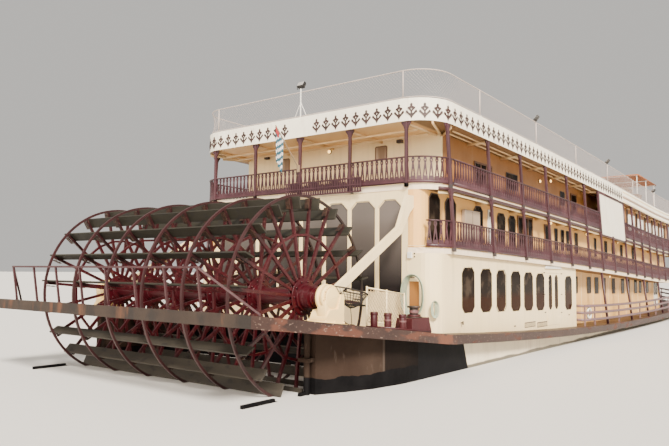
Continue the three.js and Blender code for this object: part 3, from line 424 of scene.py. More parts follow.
def dark_glass(name, low_line):
    """Dark glass with a faint painted reflection, and a warm interior seen in it under the low
    line.
    """
    material = finish(name, 0.12, specular=0.03)
    # Paler patches in the glass's colour: a painted reflection.
    reflection = spots(material, 3.4, 0.5, 0.62, detail=10)
    tint_and_reflection = tint(material, reflection, (0.010, 0.006, 0.004), (0.042, 0.029, 0.020))
    inside = ramp(material, axis_of(material, "Z"), low_line + 0.03, low_line - 0.12)
    return coat_with(material, tint(material, inside, tint_and_reflection, (0.024, 0.0065, 0.0014), 0.85))


window_glass = dark_glass("window_glass", -1)
saloon_glass = dark_glass("saloon_glass", 2.04)
seal_rubber = coat_with(finish("seal_rubber", 0.7), (0.03, 0.022, 0.02))


def clear_bench():
    if bpy.context.mode != "OBJECT":
        bpy.ops.object.mode_set(mode="OBJECT")
    bpy.ops.object.select_all(action="DESELECT")


def take(piece):
    clear_bench()
    piece.select_set(True)
    bpy.context.view_layer.objects.active = piece
    return piece


def chamfered(half_wide, low, high, corner, foot=None):
    foot = corner if foot is None else foot
    return [
        (half_wide - foot, low),
        (half_wide, low + foot),
        (half_wide, high - corner),
        (half_wide - corner, high),
        (corner - half_wide, high),
        (-half_wide, high - corner),
        (-half_wide, low + foot),
        (foot - half_wide, low),
    ]


def sawn(name, outlines, thick, paint):
    """A board sawn to an outline of (across, up) points, with holes, standing and facing aft."""
    piece = poly_curve(name, outlines, closed=True, flat=True)
    piece.data.fill_mode = "BOTH"
    piece.data.extrude = thick / 2
    take(piece)
    bpy.ops.object.convert(target="MESH")
    piece = bpy.context.object
    piece.data.transform(turn(90, "X"))
    piece.data.materials.append(paint)
    return piece


def joined(name, pieces):
    clear_bench()
    for piece in pieces:
        piece.select_set(True)
    bpy.context.view_layer.objects.active = pieces[0]
    if len(pieces) > 1:
        bpy.ops.object.join()
    pieces[0].name = name
    return pieces[0]


def window(name, half_wide, low, high, corner, rim, glass, frame_paint, foot=None, deep=0.03):
    """A framed pane facing aft, with its frame standing round the opening's edge."""
    outer = chamfered(half_wide + rim, low - rim, high + rim, corner + rim * 0.4, foot)
    inner = chamfered(half_wide, low, high, corner, foot)
    ring = sawn(name + "_frame", [outer, inner], deep, frame_paint)
    pane = sawn(name + "_pane", [inner], 0.012, glass)
    return joined(name, [pane, ring])


def from_points(name, points, faces):
    mesh = bpy.data.meshes.new(name)
    mesh.from_pydata(points, [], faces)
    return linked(name, mesh)


def copies(name, pattern, places):
    """The pattern piece copied to each place, in one mesh. The pattern itself is used up."""
    mesh = pattern.data
    count = len(mesh.vertices)
    points = np.empty(count * 3)
    mesh.vertices.foreach_get("co", points)
    points = points.reshape(-1, 3)
    faces = [tuple(face.vertices) for face in mesh.polygons]
    slots = [face.material_index for face in mesh.polygons]
    rounded = [face.use_smooth for face in mesh.polygons]
    all_points, all_faces = [], []
    for i, place in enumerate(places):
        turned = np.array(place.to_3x3())
        all_points.append(points @ turned.T + np.array(place.translation))
        step = -1 if place.determinant() < 0 else 1
        all_faces += [tuple(v + i * count for v in face[::step]) for face in faces]
    piece = from_points(name, np.concatenate(all_points).tolist(), all_faces)
    piece.data.polygons.foreach_set("material_index", slots * len(places))
    piece.data.polygons.foreach_set("use_smooth", rounded * len(places))
    for material in mesh.materials:
        piece.data.materials.append(material)
    bpy.data.objects.remove(pattern)
    return piece


def set_down(piece, body="boat", replaces=()):
    piece.data.transform(TO_MODEL)
    piece.data.update()
    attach(piece, body)
    if replaces:
        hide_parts(*replaces)
    return piece


MIRROR = Matrix.Diagonal((-1, 1, 1, 1))
SIDE_TURNS = list(zip(SIDES, (Matrix.Identity(4), MIRROR)))
FACING_STARBOARD = turn(90)


def on_side(x, y, z):
    return at(x, y, z) @ FACING_STARBOARD


# Sheer lines: the decks rise towards the stern, straight between these stations.
STATIONS = [-10, -2, 0, 4, 8, 12, 16, 20, 24, 28, 32, 36, 40, 43, 46, 49, 52, 54, 56, 57]


def sheer_curve(y):
    fall = min(y, 34)
    past = min(max(y - 34, 0), 10)
    return -0.0227 * fall - 0.0004 * fall**2 - 0.0499 * (past - past**2 / 20)


def sheer(y):
    return float(np.interp(y, STATIONS, [sheer_curve(s) for s in STATIONS]))


DECK_2 = 5.92
SALOON_X = 6.65
SALOON_WINDOWS = [
    (2.16, 3.28),
    (3.84, 4.94),
    (5.43, 6.45),
    (7.01, 8.12),
    (8.54, 9.68),
    (10.07, 11.23),
    (14.31, 15.43),
]
SILL = DECK_2 - 2.466
HEAD = DECK_2 - 0.686
for side, turned in SIDE_TURNS:
    places = []
    for from_y, to_y in SALOON_WINDOWS:
        middle = (from_y + to_y) / 2
        places.append(turned @ on_side(SALOON_X + 0.035, middle, sheer(middle)))
    pattern = window("saloon_pane", 0.54, SILL, HEAD, 0.21, 0.035, saloon_glass, seal_rubber)
    set_down(copies("saloon_windows_" + side, pattern, places))


# Upper decks. Steel plate with grey non-slip paint on top, cream edges, and warm cream undersides
# that serve as the ceiling of the deck below. Outboard, over the open side decks, the undersides
# turn dark brown: painted shade. A maroon beam is bolted round the edge of the top deck, with a
# cream lath nailed under it.
def faces_of(material):
    place = node(material, "ShaderNodeTexCoord")
    parts = node(material, "ShaderNodeSeparateXYZ")
    connect(material, place.outputs["Normal"], parts.inputs["Vector"])
    return parts.outputs["Z"]


CEILING = (0.85, 0.54, 0.25)
# The ceiling outboard, over the open side decks, in dark brown: painted shade.
VERANDA_SHADE = (0.20, 0.105, 0.04)


def deck_paint(name, top, edge):
    material = finish(name, 0.6)
    facing = faces_of(material)
    worn = tint(material, spots(material, 1.6, 0.35, 0.7), top, tuple(c * 0.75 for c in top))
    sides = tint(material, spots(material, 2.0, 0.4, 0.75), edge, tuple(c * 0.86 for c in edge))
    drips = spots(material, 6.0, 0.55, 0.75, stretch=(1.6, 1.6, 0.3), detail=5)
    sides = tint(material, drips, sides, STREAK, 0.18)
    outboard = calculate(material, "ABSOLUTE", axis_of(material, "X"))
    ceiling_and_shade = tint(material, ramp(material, outboard, 2.75, 2.85), CEILING, VERANDA_SHADE)
    colour = tint(material, ramp(material, facing, 0.5, 0.6), sides, worn)
    colour = tint(material, ramp(material, facing, -0.5, -0.6), colour, ceiling_and_shade)
    return coat_with(material, colour, spots(material, 40, 0.3, 0.7), 0.001)


repaint(deck_paint("upper_deck_paint", (0.30, 0.28, 0.25), (0.86, 0.70, 0.50)), "deck_2", "deck_3")
FASCIA = (0.93, 0.86, 0.71)
repaint(deck_paint("roof_paint", (0.62, 0.60, 0.56), FASCIA), "roof")

MAROON_FADED = (0.062, 0.020, 0.026)
maroon_paint = weathered(
    "maroon_paint", (0.036, 0.010, 0.014), MAROON_FADED, (0.12, 0.06, 0.06), 0.45, 0.25, 0.2
)
DECK_3 = 8.39
POST_LINE = 6.908
POST_HALF = 0.06
TUMBLEHOME = 0.0568
CORNER_RADIUS = 1.45
UPPER_FORE = 46
FORE_RADIUS = 2.4
BEAM_TOP = -0.1


def leaning(height):
    return POST_LINE - TUMBLEHOME * (height - DECK_2)


def stations_from(start, end):
    return [start, *(s for s in STATIONS if start + 0.01 < s < end - 0.01), end]


def arc(cx, cy, radius, first, last, steps):
    angles = np.radians(np.linspace(first, last, steps + 1))
    return [(cx + radius * math.cos(a), cy + radius * math.sin(a)) for a in angles]


def outline_of(x, aft, shaded_fore_end):
    """Half the plan of the top deck's edge, from the stern centreline to the fore end."""
    corner = arc(x - CORNER_RADIUS, aft + CORNER_RADIUS, CORNER_RADIUS, -90, 0, 8)
    fore = arc(x - FORE_RADIUS, shaded_fore_end - FORE_RADIUS, FORE_RADIUS, 0, 90, 8)
    straight = [(x, y) for y in stations_from(aft + CORNER_RADIUS, UPPER_FORE - FORE_RADIUS)[1:-1]]
    return [*corner, *straight, *fore]


def lifted(path, height):
    return [(x, y, height + sheer(y)) for x, y in path]


def mirrored(path):
    return [(-point[0], *point[1:]) for point in reversed(path)]


def round_deck(inset, height):
    """The edge of the top deck from one stern quarter round the bow to the other."""
    half = outline_of(leaning(DECK_3) - inset, inset, UPPER_FORE + POST_HALF - inset)[5:]
    return lifted([*half, *mirrored(half)], height)


def face_outwards(piece):
    take(piece)
    bpy.ops.object.mode_set(mode="EDIT")
    bpy.ops.mesh.select_all(action="SELECT")
    bpy.ops.mesh.normals_make_consistent(inside=False)
    bpy.ops.object.mode_set(mode="OBJECT")
    return piece


def hardened(piece, paint):
    """The swept curve made into a painted mesh."""
    take(piece)
    bpy.ops.object.convert(target="MESH")
    piece = bpy.context.object
    bpy.ops.object.mode_set(mode="EDIT")
    bpy.ops.mesh.select_all(action="SELECT")
    bpy.ops.mesh.remove_doubles(threshold=0.0001)
    bpy.ops.object.mode_set(mode="OBJECT")
    piece.data.materials.append(paint)
    return face_outwards(piece)


def swept(name, paths, profile, paint, closed=False):
    """A bar of the profile's section, swept along each path."""
    cutter = poly_curve(name + "_section", [profile], closed=True, flat=True)
    piece = run_of(name, paths, closed)
    piece.data.bevel_mode = "OBJECT"
    piece.data.bevel_object = cutter
    piece.data.twist_mode = "Z_UP"
    piece = hardened(piece, paint)
    bpy.data.objects.remove(cutter)
    return piece


def bar(half_wide, low, high):
    """A rectangular section: half its breadth, then its lower and upper edge."""
    return [(-half_wide, low), (half_wide, low), (half_wide, high), (-half_wide, high)]


beam = swept("edge_beam", [round_deck(0.015, DECK_3 + BEAM_TOP)], bar(0.04, -0.12, 0), maroon_paint)
set_down(beam)
lath = swept("edge_lath", [round_deck(0.085, DECK_3 - 0.255)], bar(0.012, -0.1, 0), cream_paint)
set_down(lath)

# Ceiling beams. Timber deck beams painted cream cross from each post to the house wall under the
# roof and under the top deck, and open like a fan at the two stern corners.
SIDE_POSTS = [1.12, 4.8, 8.4, 11.75, 15.0, 18.15, 20.9, *(26.7 + 2.4143 * i for i in range(8))]
LOW_POST = 23.6
BAY = 2.7256
AFT_WALL_3 = 2.45
ROOF_UNDER = 10.83
BEAM_SEAT = ROOF_UNDER - 0.002
DECK_THICK = 0.22
FACE_2 = 6.05
LOUNGE_FACE = 5.65
CABIN_FACE = 6.25
LOUNGE_END = 25.6
ceiling_paint = two_tone(
    "ceiling_paint", 0.5, 3.0, (0.80, 0.57, 0.30), (0.66, 0.42, 0.19), grain=50
)


def face_3(y):
    """Where the top deck's side wall stands. It steps out forward of the lounges."""
    return LOUNGE_FACE if y < LOUNGE_END else CABIN_FACE


def beam_between(a, b, top, wide=0.07, deep=0.12):
    line = [(*a, top + sheer(a[1])), (*b, top + sheer(b[1]))]
    return swept("beam", [line], bar(wide / 2, -deep, 0), ceiling_paint)


def both_sides(places):
    return [*places, *(MIRROR @ place for place in places)]


def both_hands(name, pattern):
    """The pattern and its mirror image on the other side, in one mesh."""
    return copies(name, pattern, both_sides([Matrix.Identity(4)]))


beams = []
for y in SIDE_POSTS[1:]:
    beams.append(beam_between((face_3(y) + 0.01, y), (6.55, y), BEAM_SEAT))
    beams.append(beam_between((FACE_2 + 0.01, y), (6.62, y), DECK_3 - DECK_THICK - 0.002))
for a, b in (
    ((BAY, AFT_WALL_3 - 0.06), (BAY, 0.1)),
    ((2 * BAY, AFT_WALL_3 - 0.06), (2 * BAY, 0.1)),
    ((5.62, AFT_WALL_3), (6.35, 0.45)),
    ((5.66, AFT_WALL_3 + 0.1), (6.6, 1.5)),
):
    beams.append(beam_between(a, b, BEAM_SEAT))
both = both_hands("ceiling_beams", joined("ceiling_beams", beams))
long_beams = [beam_between((-5.5, y), (5.5, y), ROOF_UNDER - 0.14, 0.06, 0.08) for y in (0.75, 1.6)]
long_beams.append(beam_between((0, AFT_WALL_3 - 0.06), (0, 0.1), BEAM_SEAT))
for x in (5.9, 6.25):
    line = lifted([(x, y) for y in stations_from(2.3, 45)], BEAM_SEAT)
    batten = swept("batten", [line], bar(0.025, -0.05, 0), ceiling_paint)
    long_beams.append(both_hands("batten", batten))
set_down(joined("ceiling_beams", [both, *long_beams]))

# Balcony posts. Square steel tubes painted maroon stand outside the deck edges and lean in with the
# ship's sides. A black foot hangs below each deck edge, and sawn brackets spread under the beams.
FOOT_DROP = 0.13
black_iron = weathered(
    "black_iron", (0.02, 0.017, 0.018), (0.05, 0.04, 0.038), (0.16, 0.07, 0.04)
)
HEAD_BRACKET = ROOF_UNDER - DECK_2 - 0.004
UNDER_TOP_DECK = DECK_3 - DECK_2 + BEAM_TOP - 0.12


def block(name, low, high, bevel, paint):
    """A box between two corners, with its edges rounded by the bevel."""
    clear_bench()
    middle = [(a + b) / 2 for a, b in zip(low, high)]
    bpy.ops.mesh.primitive_cube_add(size=1, location=middle)
    piece = bpy.context.object
    piece.name = name
    piece.scale = [b - a for a, b in zip(low, high)]
    bpy.ops.object.transform_apply(location=True, rotation=True, scale=True)
    if bevel:
        bpy.ops.object.mode_set(mode="EDIT")
        bpy.ops.mesh.select_all(action="SELECT")
        bpy.ops.mesh.bevel(offset=bevel, segments=2, affect="EDGES")
        bpy.ops.object.mode_set(mode="OBJECT")
    piece.data.materials.append(paint)
    return piece


def bracket(top):
    steps = ((0.055, 0.45), (0.08, 0.3), (0.13, 0.17), (0.21, 0.07), (0.21, 0))
    half = [(across, top - down) for across, down in steps]
    return sawn("bracket", [half + mirrored(half)], 0.05, maroon_paint)


def balcony_post(foot, brackets, top=HEAD_BRACKET):
    low = (-POST_HALF, -POST_HALF, foot + 0.1)
    tube = block("tube", low, (POST_HALF, POST_HALF, top), 0.012, maroon_paint)
    shoes = [
        block("shoe", (-0.068, -0.068, low), (0.068, 0.068, low + 0.15), 0.01, black_iron)
        for low in (foot, DECK_3 - DECK_2 - FOOT_DROP)
        if low < top - 0.2
    ]
    return joined("balcony_post", [tube, *shoes, *(bracket(up) for up in brackets)])


LEAN = Matrix(((1, 0, -TUMBLEHOME, 0), (0, 1, 0, 0), (0, 0, 1, 0), (0, 0, 0, 1)))
for side, turned in SIDE_TURNS:
    pattern = balcony_post(-FOOT_DROP, [HEAD_BRACKET, UNDER_TOP_DECK])
    pattern.data.transform(LEAN @ FACING_STARBOARD)
    places = [turned @ at(POST_LINE, y, DECK_2 + sheer(y)) for y in SIDE_POSTS]
    posts = copies("side_posts", pattern, places)
    short = balcony_post(-FOOT_DROP, [UNDER_TOP_DECK], UNDER_TOP_DECK)
    short.data.transform(LEAN @ FACING_STARBOARD)
    place = turned @ at(POST_LINE, LOW_POST, DECK_2 + sheer(LOW_POST))
    short = copies("short_post", short, [place])
    posts = joined("side_posts_" + side, [posts, short])
    set_down(posts, replaces=["balcony_frame_" + side])

pattern = balcony_post(DECK_3 - DECK_2 - FOOT_DROP, [HEAD_BRACKET])
aft_posts = copies("aft_posts", pattern, [at(i * BAY, 0, DECK_2) for i in (-2, -1, 0, 1, 2)])
set_down(aft_posts, replaces=["aft_balustrade"])

FORE_LINE = UPPER_FORE + POST_HALF
pattern = balcony_post(-FOOT_DROP, [HEAD_BRACKET, UNDER_TOP_DECK])
places = [at(i * 2.1, FORE_LINE, DECK_2 + sheer(UPPER_FORE)) for i in (-2, -1, 0, 1, 2)]
set_down(copies("fore_posts", pattern, places), replaces=["fore_balustrade"])

# Balustrades. Each baluster is a pine board sawn with a ringed head and two spread legs, nailed to
# a deep base board and housed under a flat handrail, all painted maroon.
RAIL_HIGH = 1.07
BALUSTER_PITCH = 0.235
maroon_wood = finish("maroon_wood", 0.5)
grain = spots(maroon_wood, 30, 0.35, 0.65, stretch=(1, 1, 0.12), detail=5)
worn = spots(maroon_wood, 2.2, 0.45, 0.7)
colour = tint(maroon_wood, worn, (0.040, 0.011, 0.016), (0.072, 0.025, 0.032))
colour = tint(maroon_wood, spots(maroon_wood, 45, 0.64, 0.72), colour, (0.20, 0.11, 0.10), 0.5)
coat_with(maroon_wood, colour, grain, 0.0015, (worn, 0.42, 0.6))


def baluster():
    half = [(0.108, 0.05), (0.108, 0.22), (0.088, 0.3), (0.032, 0.79), (0.066, 0.91), (0.04, 1.03)]
    ring = [(0.0, 0.875), (0.027, 0.91), (0.0, 0.945), (-0.027, 0.91)]
    slot = [(0.0, 0.6), (0.04, 0.3), (-0.04, 0.3)]
    return sawn("baluster", [half + mirrored(half), ring, slot], 0.03, maroon_wood)


def spaced(path, pitch, height):
    """Places every pitch along a level path, each turned with it and lifted with the sheer."""
    places = []
    along = pitch / 2
    for (x0, y0), (x1, y1) in zip(path, path[1:]):
        run = math.hypot(x1 - x0, y1 - y0)
        turned = Matrix.Rotation(math.atan2(y1 - y0, x1 - x0), 4, "Z")
        while along < run:
            share = along / run
            x, y = x0 + (x1 - x0) * share, y0 + (y1 - y0) * share
            places.append(at(x, y, height + sheer(y)) @ turned)
            along += pitch
        along -= run
    return places


HANDRAIL = [(-0.05, -0.05), (0.05, -0.05), (0.05, -0.015), (0.035, 0), (-0.035, 0), (-0.05, -0.015)]
BASE_BOARD = bar(0.025, 0.02, 0.15)


def balustrade(name, runs):
    """Boards, base board and handrail over each run of (path, deck height)."""
    places = [place for path, height in runs for place in spaced(path, BALUSTER_PITCH, height)]
    boards = copies(name, baluster(), places)
    bars = []
    for rise, section in ((RAIL_HIGH, HANDRAIL), (0, BASE_BOARD)):
        lines = [lifted(path, height + rise) for path, height in runs]
        bars.append(swept(name, lines, section, maroon_wood))
    return joined(name, [boards, *bars])


SIGN_FROM = 20.9
SIGN_TO = 26.7
SIDE_FROM = CORNER_RADIUS
SIDE_TO = UPPER_FORE - FORE_RADIUS
low_x = leaning(DECK_2 + RAIL_HIGH / 2)
high_x = leaning(DECK_3 + RAIL_HIGH / 2)


def side_run(x, start, end):
    return [(x, y) for y in stations_from(start, end)]


low_corner = arc(low_x - CORNER_RADIUS, CORNER_RADIUS, CORNER_RADIUS, -58, 0, 6)
for side in SIDES:
    runs = [
        ([*low_corner, *side_run(low_x, CORNER_RADIUS, SIDE_TO)[1:]], DECK_2),
        (side_run(high_x, SIDE_FROM, SIGN_FROM), DECK_3),
        (side_run(high_x, SIGN_TO, SIDE_TO), DECK_3),
    ]
    if side == "port":
        runs = [(mirrored(path), height) for path, height in runs]
    rails = balustrade("side_balustrade_" + side, runs)
    set_down(rails, replaces=["balcony_frame_" + side])

high_corner = arc(high_x - CORNER_RADIUS, CORNER_RADIUS, CORNER_RADIUS, -90, 0, 8)
aft_rails = balustrade("stern_balustrade", [([*mirrored(high_corner), *high_corner], DECK_3)])
set_down(aft_rails, replaces=["aft_balustrade"])

fore_runs = []
for x, height in ((low_x, DECK_2), (high_x, DECK_3)):
    corner = arc(x - FORE_RADIUS, SIDE_TO + POST_HALF, FORE_RADIUS, 2, 90, 7)
    fore_runs.append(([*corner, *mirrored(corner)], height))
set_down(balustrade("bow_balustrade", fore_runs), replaces=["fore_balustrade"])

# Sign boards. A flat plywood board in a moulded frame fills two bays of the top balcony on each
# side. It is left blank.
board_paint = weathered(
    "board_paint", (0.86, 0.80, 0.66), (0.80, 0.72, 0.57), STREAK, 0.45, 0.2, 0.12
)
BOARD_LOW = DECK_3 - 0.34
BOARD_HIGH = ROOF_UNDER - 0.02
for side, turned in SIDE_TURNS:
    corners = []
    for y in stations_from(SIGN_FROM, SIGN_TO):
        for up in (BOARD_LOW, BOARD_HIGH):
            corners.append((leaning(up) + POST_HALF - 0.04, y, up + sheer(y)))
    columns = len(corners) // 2
    faces = [(2 * i, 2 * i + 2, 2 * i + 3, 2 * i + 1) for i in range(columns - 1)]
    board = from_points("sign_board_" + side, corners, faces)
    take(board)
    bpy.ops.object.modifier_add(type="SOLIDIFY")
    board.modifiers[0].thickness = 0.04
    board.modifiers[0].offset = -1
    bpy.ops.object.modifier_apply(modifier=board.modifiers[0].name)
    board.data.materials.append(board_paint)
    edge = [
        (leaning(up) + POST_HALF - 0.015, y, up - drop + sheer(y))
        for up, y, drop in (
            (BOARD_LOW, SIGN_FROM + 0.03, 0),
            (BOARD_LOW, SIGN_TO - 0.03, 0),
            (BOARD_HIGH, SIGN_TO - 0.03, 0.06),
            (BOARD_HIGH, SIGN_FROM + 0.03, 0.06),
        )
    ]
    edges = [[edge[i], edge[(i + 1) % 4]] for i in range(4)]
    frame_bars = [swept("sign_edge", [line], bar(0.02, -0.05, 0.05), maroon_wood) for line in edges]
    board = joined("sign_board_" + side, [board, *frame_bars])
    board.data.transform(turned)
    if side == "port":
        face_outwards(board)
    set_down(board, replaces=["balcony_frame_" + side])

# Roof fascia. The deep white boards round the roof carry a row of sawn maroon ornaments, each a
# ringed bud over two leaves, screwed on one by one.
MOTIF_PITCH = 0.522
half_motif = [
    (0.055, 0.08),
    (0.19, 0.215),
    (0.228, 0.235),
    (0.212, 0.31),
    (0.165, 0.315),
    (0.075, 0.205),
    (0.034, 0.19),
    (0.034, 0.27),
    (0.085, 0.325),
    (0.148, 0.385),
    (0.15, 0.43),
    (0.075, 0.46),
    (0.034, 0.49),
    (0.055, 0.53),
    (0.036, 0.575),
]
motif_outline = [(0.0, -0.02), *half_motif, (0.0, 0.6), *mirrored(half_motif)]
motif_ring = [(0.0, 0.325), (0.03, 0.365), (0.0, 0.405), (-0.03, 0.365)]
ROOF_HALF = 6.72
ROOF_AFT = -0.12
ROOF_RADIUS = 1.5
MOTIF_FOOT = ROOF_UNDER + 0.09
round_quarter = arc(ROOF_HALF - ROOF_RADIUS, ROOF_AFT + ROOF_RADIUS, ROOF_RADIUS, -90, 0, 24)
fascia_line = [*round_quarter, (ROOF_HALF, 26.3)]
row = spaced([(1.015 - MOTIF_PITCH / 2, ROOF_AFT), *fascia_line], MOTIF_PITCH, MOTIF_FOOT)
port_row = spaced([(0.815 - MOTIF_PITCH / 2, ROOF_AFT), *fascia_line], MOTIF_PITCH, MOTIF_FOOT)
row += [MIRROR @ place for place in port_row]
ornament_brown = two_tone(
    "ornament_brown", 0.5, 4, (0.026, 0.011, 0.009), (0.046, 0.020, 0.017), low=0.4
)
motif = sawn("motif", [motif_outline, motif_ring], 0.024, ornament_brown)
set_down(copies("fascia_ornaments", motif, row))

# Fascia battens. Forward of the ornaments the fascia is plain, with three long timber battens
# nailed along it: a brown one between two cream ones.
band_brown = coat_with(finish("band_brown", 0.55), (0.36, 0.25, 0.18))
battens = []
for low, high, paint in (
    (0.03, 0.10, cream_paint),
    (0.30, 0.46, band_brown),
    (0.70, 0.77, cream_paint),
):
    line = lifted([(ROOF_HALF + 0.012, y) for y in stations_from(26.5, 43.0)], ROOF_UNDER)
    battens.append(swept("fascia_batten", [line], bar(0.01, low, high), paint))
battens = both_hands("fascia_battens", joined("fascia_batten", battens))
set_down(battens)

# Upper windows. Chamfered panes in black rubber on the aft end of the second deck, then plain
# cabin windows in dark frames, with doors between them. They are screwed to the steel walls.
DECK_2_WINDOWS = [
    # from, to, head, sill, corner
    (0.67, 1.50, 8.04, 6.15, 0.2),
    (2.00, 2.86, 7.97, 6.15, 0.2),
    (4.62, 5.42, 7.86, 6.15, 0.18),
    (7.03, 7.87, 7.73, 6.1, 0.18),
    (8.34, 9.11, 7.70, 6.1, 0.18),
    (14.66, 15.08, 7.44, 6.3, 0.03),
    (15.70, 16.14, 7.42, 6.3, 0.03),
    (16.60, 17.00, 7.40, 6.3, 0.03),
    (18.11, 18.59, 7.36, 6.2, 0.03),
    (21.96, 22.33, 7.22, 6.1, 0.03),
    (24.26, 24.78, 7.14, 6.0, 0.03),
    (26.00, 26.50, 7.08, 5.9, 0.03),
    (28.10, 28.70, 7.02, 5.9, 0.03),
    (31.37, 31.88, 6.96, 5.8, 0.03),
    (34.60, 35.10, 6.88, 5.7, 0.03),
    (37.20, 37.70, 6.82, 5.6, 0.03),
    (40.10, 40.60, 6.78, 5.6, 0.03),
]
PROMENADE_WINDOWS = [
    (19.12, 19.52, 4.77, 3.80, 0.03),
    (21.46, 22.18, 4.73, 3.75, 0.03),
    (23.11, 23.83, 4.70, 3.70, 0.03),
    (25.00, 25.50, 4.66, 3.66, 0.03),
    (27.13, 27.82, 4.62, 3.62, 0.03),
    (29.55, 30.29, 4.58, 3.58, 0.03),
    (31.26, 31.85, 4.55, 3.55, 0.03),
    (33.32, 34.06, 4.52, 3.52, 0.03),
    (34.85, 35.50, 4.50, 3.50, 0.03),
    (37.20, 37.90, 4.46, 3.46, 0.03),
]
DECK_3_WINDOWS = [
    (9.06, 10.40, 9.92, 9.15, 0.03),
    (16.84, 17.54, 9.78, 9.0, 0.03),
    (29.25, 29.55, 9.66, 8.45, 0.03),
    (32.05, 32.35, 9.56, 8.3, 0.03),
    (34.75, 35.05, 9.46, 8.2, 0.03),
    (37.15, 37.45, 9.38, 8.1, 0.03),
    (39.65, 39.95, 9.32, 8.0, 0.03),
    (41.75, 42.05, 9.28, 8.0, 0.03),
]
frame_paint = weathered(
    "window_frame_paint", (0.040, 0.026, 0.022), (0.075, 0.050, 0.040), STREAK, 0.5, 0.15, 0.1
)
PROMENADE_FACE = 5.70


def row_of_windows(name, face, rows):
    """The windows of one deck on both sides, in the wall that stands at face(y)."""
    made = []
    for start, end, head, sill, corner in rows:
        middle = (start + end) / 2
        half = (end - start) / 2
        pattern = window(name, half, sill, head, corner, 0.04, window_glass, frame_paint)
        made.append(copies(name, pattern, both_sides([on_side(face(middle) + 0.02, middle, 0)])))
    return joined(name, made)


for name, face, rows in (
    ("second_deck_windows", lambda y: FACE_2, DECK_2_WINDOWS),
    ("promenade_windows", lambda y: PROMENADE_FACE, PROMENADE_WINDOWS),
    ("top_deck_windows", face_3, DECK_3_WINDOWS),
):
    set_down(row_of_windows(name, face, rows))

# Cabin doors and panels. Varnished sliding doors in the two after lounges, white cabin doors beside
# the forward windows of the top deck, and flush doors along the promenade.
brown_wood = finish("brown_wood", 0.45)
veneer = spots(brown_wood, 12, 0.3, 0.7, stretch=(1, 1, 0.1), detail=6)
colour = tint(brown_wood, veneer, (0.075, 0.030, 0.014), (0.16, 0.070, 0.030))
coat_with(brown_wood, colour, veneer, 0.001)
door_white = weathered(
    "door_white", (0.82, 0.79, 0.72), (0.74, 0.70, 0.62), STREAK, 0.45, 0.15, 0.1
)
STILE = 0.09


def panelled(name, start, end, sill, head, paint, panes, glass_low):
    """A leaf facing aft: a stiled frame with panes or panels set back in it."""
    half = (end - start) / 2
    outline = [(-half, sill), (half, sill), (half, head), (-half, head)]
    wide = (2 * half - STILE) / panes - STILE
    holes, boards = [], []
    for i in range(panes):
        x0 = -half + STILE + i * (wide + STILE)
        x1 = x0 + wide
        hole = [(x0, glass_low), (x1, glass_low), (x1, head - STILE), (x0, head - STILE)]
        holes.append(hole)
        boards.append(sawn(name + "_pane", [hole], 0.012, window_glass))
    stiles = sawn(name, [outline, *holes], 0.05, paint)
    return joined(name, [stiles, *boards])


DOORS = [
    # name, wall face, from, to, sill, head, paint, panes, glass from
    ("second_deck_lounge_door", FACE_2, 9.39, 11.36, 5.72, 7.80, brown_wood, 3, 6.0),
    ("second_deck_side_door", FACE_2, 13.04, 13.76, 5.60, 7.60, brown_wood, 1, 6.7),
    ("second_deck_service_door", FACE_2, 5.98, 6.56, 5.82, 7.82, door_white, 1, 7.5),
    ("top_deck_lounge_door", LOUNGE_FACE, 5.47, 7.36, 8.30, 10.02, brown_wood, 3, 8.5),
    ("top_deck_recess", LOUNGE_FACE, 18.70, 19.80, 7.88, 9.86, brown_wood, 1, 8.0),
    ("promenade_door", PROMENADE_FACE, 39.80, 41.10, 2.25, 4.40, door_white, 2, 3.2),
]
leaves = []
for name, face, start, end, sill, head, paint, panes, glass_low in DOORS:
    leaf = panelled(name, start, end, sill, head, paint, panes, glass_low)
    leaves.append(copies(name, leaf, both_sides([on_side(face + 0.025, (start + end) / 2, 0)])))
CABIN_DOORS_3 = [(29.75, 31.5), (32.6, 34.3), (35.3, 36.8), (37.7, 39.2), (40.2, 41.4)]
for start, end in CABIN_DOORS_3:
    middle = (start + end) / 2
    low = DECK_3 + sheer(middle) + 0.08
    leaf = panelled("cabin_door", start, end, low, low + 1.95, door_white, 2, low + 1.84)
    leaves.append(copies("cabin_door", leaf, both_sides([on_side(CABIN_FACE + 0.025, middle, 0)])))
set_down(joined("deck_doors", leaves))

# Promenade wall joints. Flat steel strips, painted cream, cover the seams between the wall sheets
# from the guard up to the deck above.
WALL_SEAMS = (16.9, 18.6, 20.3, 22.7, 24.4, 26.3, 28.7, 30.8, 32.6, 34.4, 36.4, 38.8)


def guard_curve(y):
    return 2.715 - 0.1165 * y if y < 0 else 1.839 + 0.001042 * (y - 29) ** 2


def guard_top(y):
    return float(np.interp(y, STATIONS, [guard_curve(s) for s in STATIONS]))


strips = []
for y in WALL_SEAMS:
    low = (PROMENADE_FACE, y - 0.03, guard_top(y) + 0.02)
    high = (PROMENADE_FACE + 0.012, y + 0.03, DECK_2 - DECK_THICK + sheer(y) - 0.02)
    strips.append(block("strip", low, high, 0.004, cream_paint))
set_down(both_hands("wall_strips", joined("wall_strips", strips)))

# Lockers. A flat two-door locker of bent sheet, painted grey-beige, stands against the second deck
# wall on each side.
locker_grey = weathered(
    "locker_grey", (0.36, 0.27, 0.19), (0.30, 0.225, 0.155), STREAK, 0.45, 0.15, 0.1
)
dark_hole = coat_with(finish("dark_inside", 0.8), (0.012, 0.010, 0.010))


def pick_faces(piece, wanted):
    mesh = bmesh.from_edit_mesh(piece.data)
    for face in mesh.faces:
        face.select_set(bool(wanted(face)))
    mesh.select_flush_mode()
    bmesh.update_edit_mesh(piece.data)


def smooth(piece, angle=35):
    take(piece)
    bpy.ops.object.shade_smooth_by_angle(angle=math.radians(angle))
    return piece


